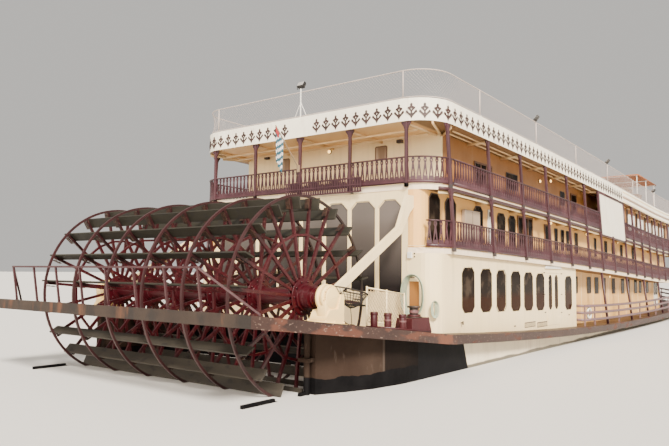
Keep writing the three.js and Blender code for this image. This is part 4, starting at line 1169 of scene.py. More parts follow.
def drum(name, radius, start, end, sides, bevel=0.0, paint=None):
    """A round bar between two points, with its end rims rounded by the bevel."""
    clear_bench()
    a, b = Vector(start), Vector(end)
    bpy.ops.mesh.primitive_cylinder_add(vertices=sides, radius=radius, depth=(b - a).length)
    piece = bpy.context.object
    piece.name = name
    if bevel:
        bpy.ops.object.mode_set(mode="EDIT")
        pick_faces(piece, lambda face: abs(face.normal.z) > 0.9)
        bpy.ops.mesh.bevel(offset=bevel, segments=2, affect="EDGES")
        bpy.ops.object.mode_set(mode="OBJECT")
    aimed = Vector((0, 0, 1)).rotation_difference(b - a).to_matrix().to_4x4()
    piece.data.transform(Matrix.Translation((a + b) / 2) @ aimed)
    piece.data.materials.append(paint)
    return smooth(piece)


for side, turned in SIDE_TURNS:
    floor_z = DECK_2 + sheer(4)
    box = block("locker", (6.052, 3.41, floor_z + 0.02), (6.24, 4.85, 7.62), 0.02, locker_grey)
    take(box)
    bpy.ops.object.mode_set(mode="EDIT")
    pick_faces(box, lambda face: face.normal.x > 0.9 and face.calc_area() > 0.5)
    bpy.ops.mesh.inset(thickness=0.05, depth=-0.012)
    bpy.ops.object.mode_set(mode="OBJECT")
    split = block("split", (6.228, 4.12, floor_z + 0.08), (6.233, 4.14, 7.56), 0.001, dark_hole)
    knobs = [
        drum("knob", 0.02, (6.23, y, 6.8), (6.27, y, 6.8), 10, 0.006, black_iron)
        for y in (4.05, 4.21)
    ]
    locker = joined("deck_locker_" + side, [box, split, *knobs])
    locker = copies("deck_locker_" + side, locker, [turned])
    set_down(locker)

# Wall lamps. Round bulkhead lamps with a cast ring and an opal glass hang on the walls and under
# the decks.
opal = two_tone("opal_glass", 0.3, 30, (0.95, 0.80, 0.45), (0.88, 0.70, 0.36))
opal_shader = opal.node_tree.nodes["Principled BSDF"]
opal_shader.inputs["Emission Color"].default_value = (1.0, 0.55, 0.15, 1)
opal_shader.inputs["Emission Strength"].default_value = 4


def wall_lamp():
    ring = drum("lamp_ring", 0.11, (0, 0.0, 0), (0, -0.05, 0), 20, 0.012, black_iron)
    clear_bench()
    bpy.ops.mesh.primitive_uv_sphere_add(segments=16, ring_count=10, radius=0.085)
    globe = bpy.context.object
    globe.scale = (1, 0.7, 1)
    globe.location = (0, -0.06, 0)
    bpy.ops.object.transform_apply(location=True, rotation=True, scale=True)
    # The operator's faces come in an order that varies from run to run, so they are sorted.
    points = [tuple(corner.co) for corner in globe.data.vertices]
    faces = sorted(tuple(face.vertices) for face in globe.data.polygons)
    globe.data.clear_geometry()
    globe.data.from_pydata(points, [], faces)
    globe.data.materials.append(opal)
    return joined("wall_lamp", [smooth(globe, 60), ring])


LAMPS = (
    # wall face, then each lamp's place along and up
    (FACE_2, [(13.95, 7.72), (20.2, 7.4), (27.3, 7.22), (33.9, 7.15)]),
    (LOUNGE_FACE, [(13.5, 10.0), (15.15, 10.2), (24.6, 9.6)]),
    (PROMENADE_FACE, [(18.2, 4.95), (26.4, 4.8), (36.6, 4.6)]),
)
lamp_places = [on_side(face, y, z) for face, spread in LAMPS for y, z in spread]
lamps = copies("wall_lamps", wall_lamp(), [*both_sides(lamp_places), at(-0.26, AFT_WALL_3, 10.6)])
set_down(lamps)

# Stern windows. Four tall panes a side light the saloon and the lounge over it from behind the
# wheel; the glass sits in thin cream frames inside the openings of the stern wall.
STERN_WINDOWS = [(0.07, 1.23), (1.37, 2.57), (2.71, 3.94), (4.08, 5.2)]
stern_glass = finish("stern_glass", 0.1, specular=0.35)
# Pale patches in the glass: a painted reflection. The glass turns near black towards the bottom.
painted_reflection = spots(stern_glass, 0.7, 0.3, 0.7, detail=1)
lower = ramp(stern_glass, axis_of(stern_glass, "Z"), 3.6, 2.2)
reflection_colour = tint(stern_glass, painted_reflection, (0.095, 0.080, 0.070), (0.150, 0.125, 0.110))
coat_with(stern_glass, tint(stern_glass, lower, reflection_colour, (0.012, 0.010, 0.010), 0.95))
stern_panes = []
for start, end in STERN_WINDOWS:
    half = (end - start) / 2 - 0.034
    pattern = window(
        "stern_pane", half, 4.185, 7.79, 0.28, 0.028, stern_glass, cream_paint, foot=0.02
    )
    stern_panes.append(copies("stern_pane", pattern, both_sides([at((start + end) / 2, 0.13, 0)])))
set_down(joined("stern_windows", stern_panes))

# Lounge windows. The after wall of the top deck has two small windows with pale curtains behind the
# glass, in brown frames, and two small dark floodlights under the ceiling.
CURTAIN = (0.24, 0.16, 0.10)
CURTAIN_FOLD = (0.50, 0.36, 0.24)
curtained_glass = two_tone(
    "curtained_glass", 0.25, 4, CURTAIN, CURTAIN_FOLD, 0.4, 0.6, stretch=(1, 1, 0.1)
)
after_panes = []
for x in (-3.1, 2.65):
    pattern = window("after_pane", 0.27, 9.98, 10.5, 0.03, 0.05, curtained_glass, brown_wood)
    after_panes.append(copies("after_pane", pattern, [at(x, 2.43, 0)]))
for x, z in ((-4.25, 10.62), (3.68, 10.55)):
    low, high = (x - 0.13, 2.25, z), (x + 0.13, 2.44, z + 0.15)
    after_panes.append(block("veranda_flood", low, high, 0.02, black_iron))
set_down(joined("top_lounge_after_windows", after_panes))

# Stowed gangway. A slatted timber gangway painted maroon is stowed along the outside of the stern
# balustrade, on two iron hooks.
GANGWAY_FROM, GANGWAY_TO = -0.75, 3.4
gangway = [
    block("side_bar", (GANGWAY_FROM, -0.135, z), (GANGWAY_TO, -0.085, z + 0.06), 0.008, maroon_wood)
    for z in (8.2, 8.48, 8.76)
]
gangway += [
    block("slat", (x - 0.035, -0.125, 8.21), (x + 0.035, -0.095, 8.81), 0.005, maroon_wood)
    for x in np.arange(GANGWAY_FROM + 0.06, GANGWAY_TO, 0.13)
]
for x in (0.0, 2.9):
    low, high = (x - 0.02, -0.15, 8.14), (x + 0.02, -0.04, 8.2)
    gangway.append(block("hook", low, high, 0.004, black_iron))
set_down(joined("stowed_gangway", gangway))

# Saloon side fittings. Louvred vents low in the wall, a light housing over the doors, and small
# hinge plates, all painted over in cream.
WHITE = (0.80, 0.78, 0.72)
white_paint = weathered("white_paint", WHITE, (0.70, 0.67, 0.60), STREAK, 0.4, 0.2, 0.15)
SIDE_FACE = SALOON_X + 0.05
LOUVRES = 4
PLATES = [
    (11.2, 5.0),
    (13.75, 4.95),
    (11.2, 3.9),
    (13.75, 3.85),
    (11.3, 3.0),
    (13.7, 2.9),
    (14.9, 2.72),
    (7.4, 2.55),
]
fittings = []
for start, end, low, high in ((8.6, 9.91, 2.42, 2.60), (10.2, 11.52, 2.34, 2.52)):
    for i in range(LOUVRES):
        z = low + (high - low) * (i + 0.2) / LOUVRES
        corners = (SIDE_FACE + 0.002, start, z), (SIDE_FACE + 0.025, end, z + 0.022)
        fittings.append(block("louvre", *corners, 0.005, cream_paint))
    corners = (SIDE_FACE, start - 0.03, low - 0.03), (SIDE_FACE + 0.006, end + 0.03, high + 0.04)
    fittings.append(block("louvre_back", *corners, 0.001, frame_paint))
fittings.append(block("door_light", (SIDE_FACE, 11.27, 5.2), (6.78, 13.6, 5.36), 0.02, white_paint))
for y, z in PLATES:
    corners = (SIDE_FACE, y - 0.09, z - 0.025), (SIDE_FACE + 0.02, y + 0.09, z + 0.025)
    fittings.append(block("plate", *corners, 0.006, frame_paint))
fittings = both_hands("saloon_fittings", joined("saloon_fittings", fittings))
set_down(fittings)

# Saloon door glass. One narrow pane in a rubber seal stands in each steel leaf, and moves with its
# door.
for side, turned in SIDE_TURNS:
    for leaf_name, middle in (("aft", 12.05), ("fore", 12.95)):
        low, high = SILL + sheer(12.5), HEAD + sheer(12.5)
        pattern = window(
            "door_pane", 0.262, low, high, 0.155, 0.012, saloon_glass, seal_rubber, deep=0.02
        )
        place = turned @ on_side(SIDE_FACE - 0.015, middle, 0)
        pane = copies(leaf_name + "_door_pane_" + side, pattern, [place])
        set_down(pane, side + "_" + leaf_name + "_door")

# Roof fence. White tube posts and rails carry a diamond mesh of thin white wire all round the open
# roof, with floodlights on some of the posts.
ROOF_TOP = 11.72
FENCE_HIGH = 1.17
FENCE_X = 6.66
fence_wire = coat_with(finish("fence_wire", 0.5), (0.42, 0.35, 0.32))
fence_tube = weathered("fence_tube", (0.50, 0.42, 0.38), (0.42, 0.35, 0.31), STREAK, 0.45, 0.2, 0.2)
fence_corner = arc(FENCE_X - 1.4, 1.4, 1.4, -90, -1, 8)
fence_line = [(0.0, 0.0), *fence_corner, *((FENCE_X, y) for y in stations_from(1.5, 43.5))]
fence_line = [*mirrored(fence_line)[:-1], *fence_line]


def pipe(name, paths, radius, sides, paint, closed=False):
    piece = run_of(name, paths, closed)
    piece.data.bevel_depth = radius
    piece.data.bevel_resolution = max(0, sides // 4 - 1)
    return smooth(hardened(piece, paint))


tubes = [
    pipe("fence_rail", [lifted(fence_line, ROOF_TOP + z)], 0.022, 8, fence_tube)
    for z in (0.07, FENCE_HIGH - 0.02)
]
FENCE_POSTS = [
    *((x, 0.0) for x in (-5.3, 5.3)),
    *((s * FENCE_X, y) for s in (-1, 1) for y in (4.0, 10.5, 16.7, 23.1, 29.6, 36.2, 42.4)),
]
post_pattern = pipe("fence_post", [[(0, 0, 0.002), (0, 0, FENCE_HIGH)]], 0.03, 8, fence_tube)
foot_pattern = block("fence_foot", (-0.07, -0.07, 0.0), (0.07, 0.07, 0.02), 0.005, white_paint)
post_pattern = joined("fence_post", [post_pattern, foot_pattern])
places = [at(x, y, ROOF_TOP + sheer(y)) for x, y in FENCE_POSTS]
fence_posts = copies("fence_post", post_pattern, places)
MESH_PITCH = 0.14


def wires(slope):
    """One family of slanting wires along the fence, each a thin triangular bar."""
    points, faces = [], []
    lengths = [0.0]
    for a, b in zip(fence_line, fence_line[1:]):
        lengths.append(lengths[-1] + math.dist(a, b))
    xs, ys = zip(*fence_line)
    high = FENCE_HIGH - 0.1

    def spot(along, z):
        x, y = float(np.interp(along, lengths, xs)), float(np.interp(along, lengths, ys))
        return Vector((x, y, ROOF_TOP + sheer(y) + z))

    count = int((lengths[-1] - high) / MESH_PITCH)
    for i in range(count):
        foot = i * MESH_PITCH + (0 if slope > 0 else high)
        a, b = spot(foot, 0.07), spot(foot + slope * high, FENCE_HIGH - 0.03)
        flat = (b - a).cross(Vector((0, 0, 1))).normalized() * 0.003
        rise = Vector((0, 0, 0.0038))
        start = len(points)
        for end in (a, b):
            points += [end + flat, end - flat + rise, end - flat - rise]
        for k in range(3):
            following = (k + 1) % 3
            faces.append((start + k, start + following, start + 3 + following, start + 3 + k))
    piece = from_points("fence_wires", points, faces)
    piece.data.materials.append(fence_wire)
    return piece


FENCES = ["roof_fence_aft", "roof_fence_starboard", "roof_fence_port"]
mesh_wires = face_outwards(joined("fence_mesh", [wires(1), wires(-1)]))
set_down(mesh_wires, replaces=FENCES)
set_down(joined("roof_fence_frame", [*tubes, fence_posts]), replaces=FENCES)

# Floodlights. Cast housings painted dark, with a sloping glass front, stand on short arms over the
# fence posts, and one on a taller mast at the stern.
lamp_grey = weathered(
    "lamp_grey", (0.012, 0.011, 0.011), (0.03, 0.028, 0.026), STREAK, 0.5, 0.1, 0.1
)
opal_cold = coat_with(finish("lamp_lens", 0.15), (0.30, 0.29, 0.28))


def floodlight():
    body = block("flood_body", (-0.15, -0.05, -0.11), (0.15, 0.06, 0.11), 0.03, lamp_grey)
    lens = block("flood_lens", (-0.12, -0.062, -0.085), (0.12, -0.045, 0.085), 0.01, opal_cold)
    fins = [
        block("fin", (x - 0.008, 0.05, -0.09), (x + 0.008, 0.095, 0.09), 0.002, lamp_grey)
        for x in (-0.1, -0.05, 0, 0.05, 0.1)
    ]
    head = joined("flood_head", [body, lens, *fins])
    head.data.transform(at(0, 0.02, 0.16) @ turn(-35, "X"))
    arms = [(-0.17, 0.02, 0.16), (-0.17, 0, 0.02), (0.17, 0, 0.02), (0.17, 0.02, 0.16)]
    yoke = pipe("yoke", [arms], 0.012, 6, lamp_grey)
    light = joined("floodlight", [head, yoke])
    light.data.transform(Matrix.Scale(1.3, 4))
    return light


flood_places = [
    at(s * (FENCE_X - 0.02), y, ROOF_TOP + FENCE_HIGH + sheer(y)) @ turn(-60 * s)
    for s in (-1, 1)
    for y in (10.5, 23.1, 36.2)
]
mast_top = ROOF_TOP + FENCE_HIGH + 0.12
floods = copies("floodlights", floodlight(), [*flood_places, at(0, 0, mast_top)])
mast_line = [(0, 0, ROOF_TOP + 0.005), (0, 0, mast_top + 0.02)]
mast = pipe("light_mast", [mast_line], 0.03, 8, white_paint)
leg_lines = [[(0, 0, ROOF_TOP + 0.7), (s * 0.35, 0.0, ROOF_TOP + 0.02)] for s in (-1, 1)]
legs = pipe("mast_legs", leg_lines, 0.014, 6, white_paint)
set_down(joined("floodlights", [floods, mast, legs]))

# Paddle wheel. Six welded steel frames of flat-bar spokes carry twenty timber floats, clamped to
# the spokes with steel plates and bolts. The frames sit on a thick tube between bolted hub discs.
WHEEL_Y, WHEEL_Z = -5.5, 4.15
WHEEL_RADIUS = 3.3
FRAME_X = [-4.95, -2.97, -0.99, 0.99, 2.97, 4.95]
SPOKES = 20
FIRST_SPOKE = 12.5
WHEEL_CENTRE = (0, (WHEEL_Y - MIDSHIPS) * HALF_SIZE, WHEEL_Z * HALF_SIZE)


def middle_of(name):
    corners = [Vector(corner) for corner in cad[name].bound_box]
    return tuple(sum(corners, Vector()) / 8)


def out_from(material, centre):
    """Distance from the shaft's line, in the model's metres."""
    place = place_on_piece(material, (0, 1, 1), centre)
    length = node(material, "ShaderNodeVectorMath", operation="LENGTH")
    connect(material, place, length.inputs[0])
    return length.outputs["Value"]


def wheel_paint(name, centre):
    material = finish(name, 0.42, 0.05)
    fresh, faded = (0.046, 0.0012, 0.0040), (0.031, 0.0010, 0.0034)
    red = tint(material, spots(material, 3.0, 0.3, 0.7), fresh, faded)
    # Darker towards the rims.
    toward_rims = ramp(material, out_from(material, centre), 1.15, 1.5)
    red = tint(material, toward_rims, red, (0.020, 0.009, 0.009), 0.75)
    scuff = spots(material, 26, 0.58, 0.68, detail=6)
    red = tint(material, scuff, red, (0.13, 0.055, 0.045), 0.45)
    return coat_with(material, red, spots(material, 40, 0.3, 0.7), 0.0015, (scuff, 0.38, 0.6))


frame_red = wheel_paint("frame_red", middle_of("wheel_frame_3"))
repaint(frame_red, *("wheel_frame_%d" % i for i in range(1, 7)))
shaft_red = finish("shaft_red", 0.33)
fresh, faded = (0.046, 0.0008, 0.0038), (0.031, 0.0007, 0.0032)
red = tint(shaft_red, spots(shaft_red, 2.5, 0.35, 0.7), fresh, faded)
grease = spots(shaft_red, 18, 0.6, 0.7)
coat_with(shaft_red, tint(shaft_red, grease, red, (0.03, 0.012, 0.011), 0.6))
repaint(shaft_red, "paddle_shaft")

rim_red = finish("rim_red", 0.5)
fresh, faded = (0.036, 0.0085, 0.0095), (0.024, 0.0060, 0.0065)
fade_and_shade = tint(rim_red, spots(rim_red, 3.0, 0.3, 0.7), fresh, faded)
# The fore side of the rims, turned from the light, is darker: painted shade.
shaded_fore_side = ramp(rim_red, axis_of(rim_red, "Y", WHEEL_CENTRE), -0.3, 0.5)
fade_and_shade = tint(rim_red, shaded_fore_side, fade_and_shade, (0.018, 0.009, 0.008), 0.9)
coat_with(rim_red, fade_and_shade, spots(rim_red, 40, 0.3, 0.7), 0.0015)

wet_wood = finish("float_timber", 0.72)
along = spots(wet_wood, 6.0, 0.3, 0.7, stretch=(0.12, 1.5, 1.5), detail=6)
wood = tint(wet_wood, along, (0.0095, 0.0078, 0.0038), (0.020, 0.0165, 0.0080))
low = ramp(wet_wood, axis_of(wet_wood, "Z", WHEEL_CENTRE), -0.5, -0.9)
wood_below = tint(wet_wood, along, (0.021, 0.0165, 0.0110), (0.042, 0.034, 0.024))
wood = tint(wet_wood, low, wood, wood_below)
rot = spots(wet_wood, 11, 0.58, 0.66, stretch=(0.5, 1, 1))
wood = tint(wet_wood, rot, wood, (0.010, 0.008, 0.007), 0.7)
coat_with(wet_wood, wood, along, 0.003, (along, 0.6, 0.85))


def round_points(radius, sides=80):
    return arc(0, 0, radius, 0, 360 - 360 / sides, sides - 1)


def on_shaft(x):
    return at(x, WHEEL_Y, WHEEL_Z)


rim_rings = [round_points(WHEEL_RADIUS), round_points(WHEEL_RADIUS - 0.085)]
rim = sawn("wheel_rim", rim_rings, 0.06, rim_red)
places = [on_shaft(x) @ FACING_STARBOARD for x in (FRAME_X[0], FRAME_X[-1])]
outer_rims = copies("outer_rims", rim, places)
band_rings = [round_points(WHEEL_RADIUS + 0.002), round_points(WHEEL_RADIUS - 0.072)]
band = sawn("wheel_band", band_rings, 0.086, rim_red)
places = [on_shaft(x) @ FACING_STARBOARD for x in FRAME_X[1:-1]]
inner_bands = copies("inner_bands", band, places)
set_down(outer_rims, "paddle_wheel", replaces=("paddle_floats",))
set_down(inner_bands, "paddle_wheel")

spoke_turns = [on_shaft(0) @ turn(FIRST_SPOKE + 360 / SPOKES * k, "X") for k in range(SPOKES)]
board = block("float_board", (-5.3, 0.052, 2.83), (5.3, 0.11, 3.225), 0.012, wet_wood)
board.data.transform(turn(-90, "X") @ MIRROR)
boards = copies("float_boards", face_outwards(board), spoke_turns)
set_down(boards, "paddle_wheel", replaces=("paddle_floats",))

iron = two_tone(
    "wheel_iron", 0.55, 20, (0.03, 0.017, 0.013), (0.07, 0.034, 0.022), 0.4, 0.6, metallic=0.4
)
clamp = block("float_clamp", (-0.09, 2.86, -0.075), (0.09, 3.19, -0.055), 0.006, iron)
heads = [
    drum("bolt", 0.026, (x, y, -0.055), (x, y, -0.095), 6, paint=iron)
    for x in (-0.06, 0.06)
    for y in (2.94, 3.11)
]
clamp = joined("float_clamp", [clamp, *heads])
places = [turned @ at(x, 0, 0.18) for turned in spoke_turns for x in FRAME_X]
clamps = copies("float_clamps", clamp, places)
set_down(clamps, "paddle_wheel")
HUB_BOLTS = 10
HUB_SIDES = 40


def hub_disc():
    disc = drum("hub_disc", 0.6, (-0.035, 0, 0), (0, 0, 0), HUB_SIDES, 0.008, shaft_red)
    ring = drum("hub_ring", 0.4, (-0.075, 0, 0), (-0.03, 0, 0), HUB_SIDES, 0.01, shaft_red)
    caps = [
        drum("hub_bolt", 0.032, (-0.075, y, z), (-0.03, y, z), 6, paint=shaft_red)
        for y, z in arc(0, 0, 0.5, 0, 360 - 360 / HUB_BOLTS, HUB_BOLTS - 1)
    ]
    return joined("hub_disc", [disc, ring, *caps])


places = [on_shaft(x - 0.042) for x in FRAME_X]
places += [on_shaft(x + 0.042) @ MIRROR for x in FRAME_X]
discs = copies("hub_discs", hub_disc(), places)
set_down(discs, "paddle_wheel")


def round_shaft(name, radius, start_x, end_x, sides, bevel, paint):
    """A drum about the wheel's shaft, from one place across the boat to another."""
    ends = [(x, WHEEL_Y, WHEEL_Z) for x in (start_x, end_x)]
    return drum(name, radius, *ends, sides, bevel, paint)


bosses = [
    round_shaft("hub_boss", 0.335, x - 0.3 * s, x, 36, 0.02, shaft_red)
    for x in FRAME_X[1:-1]
    for s in (-1, 1)
]
steps = [
    round_shaft("hub_step", r, s * a, s * b, 36, 0.012, shaft_red)
    for s in (-1, 1)
    for r, a, b in ((0.45, 5.02, 5.12), (0.385, 5.1, 5.26), (0.3, 5.45, 5.55), (0.26, 5.54, 5.73))
]
set_down(joined("hub_bosses", [*bosses, *steps]), "paddle_wheel")

# Wheel bearings. Cast housings painted cream stand on welded pedestals, each turned with a wide
# collar and a round cap, and bolted down to the guard.
HOUSING_PARTS = ((0.43, 5.8, 5.93), (0.36, 5.92, 5.99), (0.41, 5.97, 6.1), (0.34, 6.09, 6.19))
bearing_cream = coat_with(finish("bearing_cream", 0.45), (0.92, 0.66, 0.28))
housing = [
    round_shaft("housing", r, a, b, 40, 0.035, bearing_cream)
    for r, a, b in HOUSING_PARTS
]
cap_bolts = []
for y, z in arc(WHEEL_Y, WHEEL_Z, 0.36, 15, 315, 7):
    cap_bolts.append(drum("cap_bolt", 0.03, (6.09, y, z), (6.13, y, z), 6, paint=bearing_cream))
foot_z = guard_top(WHEEL_Y)
stand_outline = [
    (-5.95, foot_z + 0.06),
    (-5.0, foot_z - 0.05),
    (-5.0, 4.25),
    (-5.15, 4.25),
    (-5.3, 3.8),
    (-5.72, 3.78),
]
stand = sawn("stand", [stand_outline], 0.68, bearing_cream)
stand.data.transform(at(5.905, 0, 0) @ FACING_STARBOARD)
saddle = block("saddle", (5.83, -5.84, 3.6), (6.17, -5.04, 4.1), 0.02, bearing_cream)
sole_line = [(5.92, y, guard_top(y) + 0.02) for y in (-6.08, -4.9)]
sole = swept("sole", [sole_line], bar(0.4, -0.02, 0.02), bearing_cream)
sole_bolts = []
for x in (5.57, 6.27):
    for y in (-5.95, -5.5, -5.05):
        low, high = (x, y, guard_top(y) + 0.03), (x, y, guard_top(y) + 0.09)
        sole_bolts.append(drum("sole_bolt", 0.035, low, high, 6, paint=bearing_cream))
starboard_bearing = joined("bearing", [*housing, *cap_bolts, stand, saddle, sole, *sole_bolts])
bearings = both_hands("bearings", smooth(starboard_bearing, 40))
set_down(bearings, replaces=pair("wheel_bearing"))

# Struts. A flat steel box runs from each bearing pedestal up to the stern corner, and kinks to
# stand upright against the wall.
strut_line = [
    (-4.99, 4.02),
    (-0.76, 6.42),
    (-0.22, 7.2),
    (0.077, 7.45),
    (0.077, 7.9),
    (-0.35, 7.9),
    (-1.0, 6.64),
    (-4.99, 4.35),
]
strut = sawn("strut_box", [strut_line], 0.16, cream_paint)
strut.data.transform(at(5.66, 0, 0) @ FACING_STARBOARD)
struts = both_hands("struts", strut)
set_down(struts, replaces=pair("strut"))

# Fences beside the wheel. Cream tube posts and rails carry a diamond lattice of thin battens, and a
# hooped black net hangs between the bearing and the first post.
FENCE_SIDE = 5.8
FENCE_FROM, FENCE_TO = -3.13, -0.72
lattice_paint = coat_with(finish("lattice_paint", 0.6), (0.42, 0.29, 0.15))
FENCE_LOW, FENCE_TOP = 0.2, 1.35
fence_tubes = []
for rise in (FENCE_LOW, FENCE_TOP):
    line = [(FENCE_SIDE, y, guard_top(y) + rise) for y in (FENCE_FROM, FENCE_TO)]
    fence_tubes.append(pipe("guard_rail", [line], 0.026, 8, cream_paint))
for y in (FENCE_FROM, -1.9, FENCE_TO):
    line = [(FENCE_SIDE, y, guard_top(y) + rise) for rise in (0.002, 1.4)]
    fence_tubes.append(pipe("guard_post", [line], 0.032, 8, cream_paint))
battens = []
LATTICE_PITCH = 0.17
for slope in (-1, 1):
    for i in range(-8, 16):
        start = FENCE_FROM + LATTICE_PITCH * i
        ends = []
        for step in range(24):
            y = start + 0.05 * step
            rise = FENCE_LOW + 0.05 * step if slope > 0 else FENCE_TOP - 0.05 * step
            if FENCE_FROM <= y <= FENCE_TO and FENCE_LOW <= rise <= FENCE_TOP:
                ends.append((FENCE_SIDE + 0.008 * slope, y, guard_top(y) + rise))
        if len(ends) > 1:
            battens.append([ends[0], ends[-1]])
lattice = pipe("lattice", battens, 0.009, 4, lattice_paint)
starboard_fence = joined("wheel_fence", [*fence_tubes, lattice])
fences = both_hands("wheel_fences", starboard_fence)
set_down(fences, replaces=pair("wheel_bearing"))

NET_BOTTOM = Vector((5.72, -3.96, 3.75))
net_black = coat_with(finish("net_twine", 0.7), (0.020, 0.016, 0.014))


def hoop_spot(degrees, down=0.0):
    """A place on the net: round the tilted hoop, and down to the knot at the bottom."""
    a = math.radians(degrees)
    fore = math.cos(a)
    spot = Vector((5.72 + 0.36 * math.sin(a), -3.97 + 0.87 * fore, 4.335 - 0.155 * fore))
    return spot.lerp(NET_BOTTOM, down) - Vector((0, 0, 0.12 * math.sin(math.pi * down)))


net_lines = [[hoop_spot(a, down) for down in np.linspace(0, 1, 6)] for a in range(0, 360, 12)]
net_lines += [[hoop_spot(a, down) for a in range(0, 361, 12)] for down in (0.2, 0.4, 0.6, 0.8)]
net = pipe("net_twine", net_lines, 0.008, 4, net_black)
hoop_line = [hoop_spot(a) for a in range(0, 360, 12)]
hoop = pipe("net_hoop", [hoop_line], 0.026, 8, net_black, closed=True)
tail_line = [NET_BOTTOM, (5.72, -3.9, 3.5), (5.72, -3.87, guard_top(-3.87) + 0.02)]
tail = pipe("net_lace", [tail_line], 0.014, 6, net_black)
set_down(both_hands("wheel_nets", joined("net", [net, hoop, tail])))

# Promenade rails. Three flat timber rails, faded to mauve, run on steel stanchions along the edge
# of the main deck to the bow. Square maroon posts stand among them and carry the deck above.
mauve = weathered(
    "rail_mauve", (0.13, 0.075, 0.078), (0.17, 0.10, 0.10), (0.22, 0.14, 0.12), 0.5, 0.2, 0.3
)
HOUSE_END = 16.1
GUARD_HALF = 7.4
BOW_END = 57


def rail_line(y):
    share = max(0.0, (y - 40) / (BOW_END - 40))
    return max(GUARD_HALF * (1 - share**2.4), 0.35) - 0.3


rail_ys = stations_from(HOUSE_END + 0.25, 55.3)
rail_way = [(SALOON_X - 0.02, HOUSE_END + 0.08), *((rail_line(y), y) for y in rail_ys)]
rails = []
for rise in (0.36, 0.76, 1.14):
    line = [(x, y, guard_top(y) + rise) for x, y in rail_way]
    rails.append(swept("rail", [line], bar(0.033, -0.075, 0.075), mauve))
for y in (16.35, 18.2, 23.4, 28.9, 33.8, 38.4, 44, 48, 52, 55.25):
    x, deck = rail_line(y), guard_top(y)
    corners = (x - 0.04, y - 0.04, deck + 0.005), (x + 0.04, y + 0.04, deck + 1.2)
    rails.append(block("stanchion", *corners, 0.006, mauve))
for y in (20.9, 26.7, 31.53, 36.36, 41.18):
    top = DECK_2 - DECK_THICK + sheer(y) - 0.012
    line = [(rail_line(y), y, guard_top(y) + 0.01), (POST_LINE - 2 * POST_HALF - 0.003, y, top)]
    square = bar(POST_HALF, -POST_HALF, POST_HALF)
    rails.append(swept("promenade_post", [line], square, maroon_paint))
rails = both_hands("promenade_rails", joined("rail", rails))
set_down(rails, replaces=pair("promenade_rail"))

# Walkway rail and windlass. Steel tube and cast iron painted maroon, faded where hands and ropes
# rub them. The rail's posts stand in round foot plates on the walkway.
RAIL_RED = (0.034, 0.0085, 0.0110)
RAIL_FADED = (0.054, 0.017, 0.020)
rail_paint = weathered("rail_paint", RAIL_RED, RAIL_FADED, (0.15, 0.075, 0.07), 0.42, 0.2, 0.3)
repaint(rail_paint, "walkway_rail", "foredeck_windlass")
WALKWAY_TOP = 3.846
RAIL_POSTS = 8
rail_feet = []
for i in range(RAIL_POSTS):
    x = 5.02 * (2 * i / (RAIL_POSTS - 1) - 1)
    low, high = (x, -9.75, WALKWAY_TOP + 0.004), (x, -9.75, WALKWAY_TOP + 0.024)
    rail_feet.append(drum("rail_foot", 0.07, low, high, 10, 0.005, rail_paint))
set_down(joined("walkway_rail_feet", rail_feet))

# Mooring gear. Two-colour steel bollards, and a winch box with a waisted rope drum on top, on a
# welded foot plate.
FRESH_RED = (0.036, 0.0025, 0.0045)
WORN_RED = (0.056, 0.006, 0.008)
bollard_red = weathered("bollard_red", FRESH_RED, WORN_RED, (0.11, 0.05, 0.045), 0.45, 0.3, 0.3)
bollard_band = coat_with(finish("bollard_band", 0.5), (0.14, 0.06, 0.06))
dark_iron = two_tone(
    "dark_iron", 0.5, 9, (0.035, 0.026, 0.022), (0.08, 0.05, 0.04), 0.4, 0.6, metallic=0.5
)
gear = []
BOLLARD = (
    # name, radius, from and to over the deck, bevel, paint
    ("bollard", 0.125, 0.01, 0.46, 0.01, bollard_red),
    ("bollard_head", 0.137, 0.43, 0.54, 0.02, bollard_red),
    ("bollard_band", 0.13, 0.27, 0.33, 0.006, bollard_band),
)
for x, y, parts in ((6.12, -3.15, 2), (6.45, -2.81, 3), (6.78, -2.4, 3)):
    deck = guard_top(y)
    for name, radius, low, high, bevel, paint in BOLLARD[:parts]:
        gear.append(drum(name, radius, (x, y, deck + low), (x, y, deck + high), 20, bevel, paint))
WINCH_X, WINCH_Y = 6.56, -1.35
low, high = (6.18, -2.02, guard_top(-0.7) + 0.02), (6.94, -0.68, 3.36)
box = block("winch_box", low, high, 0.012, bollard_red)
for vertex in box.data.vertices:
    if vertex.co.z > 3.2:
        vertex.co.x = WINCH_X + (vertex.co.x - WINCH_X) * 0.84
        vertex.co.y = WINCH_Y + (vertex.co.y - WINCH_Y) * 0.86
gear.append(box)
DRUM_Y = -1.29
for name, radius, low, high, bevel, paint in (
    ("winch_drum", 0.29, 3.36, 3.4, 0.01, dark_iron),
    ("winch_drum", 0.24, 3.4, 3.47, 0.01, bollard_red),
    ("winch_drum", 0.16, 3.46, 3.72, 0.01, dark_iron),
    ("winch_drum", 0.24, 3.71, 3.77, 0.01, dark_iron),
    ("winch_barrel", 0.17, 3.52, 3.62, 0.005, bollard_band),
):
    ends = (WINCH_X, DRUM_Y, low), (WINCH_X, DRUM_Y, high)
    gear.append(drum(name, radius, *ends, 28, bevel, paint))
plate_line = [(6.45, y, guard_top(y) + 0.031) for y in (-3.4, -2.0, -0.75)]
gear.append(swept("gear_plate", [plate_line], bar(0.5, -0.03, 0.03), bollard_red))
gears = both_hands("mooring_gears", joined("gear", gear))
set_down(gears, replaces=pair("mooring_gear"))

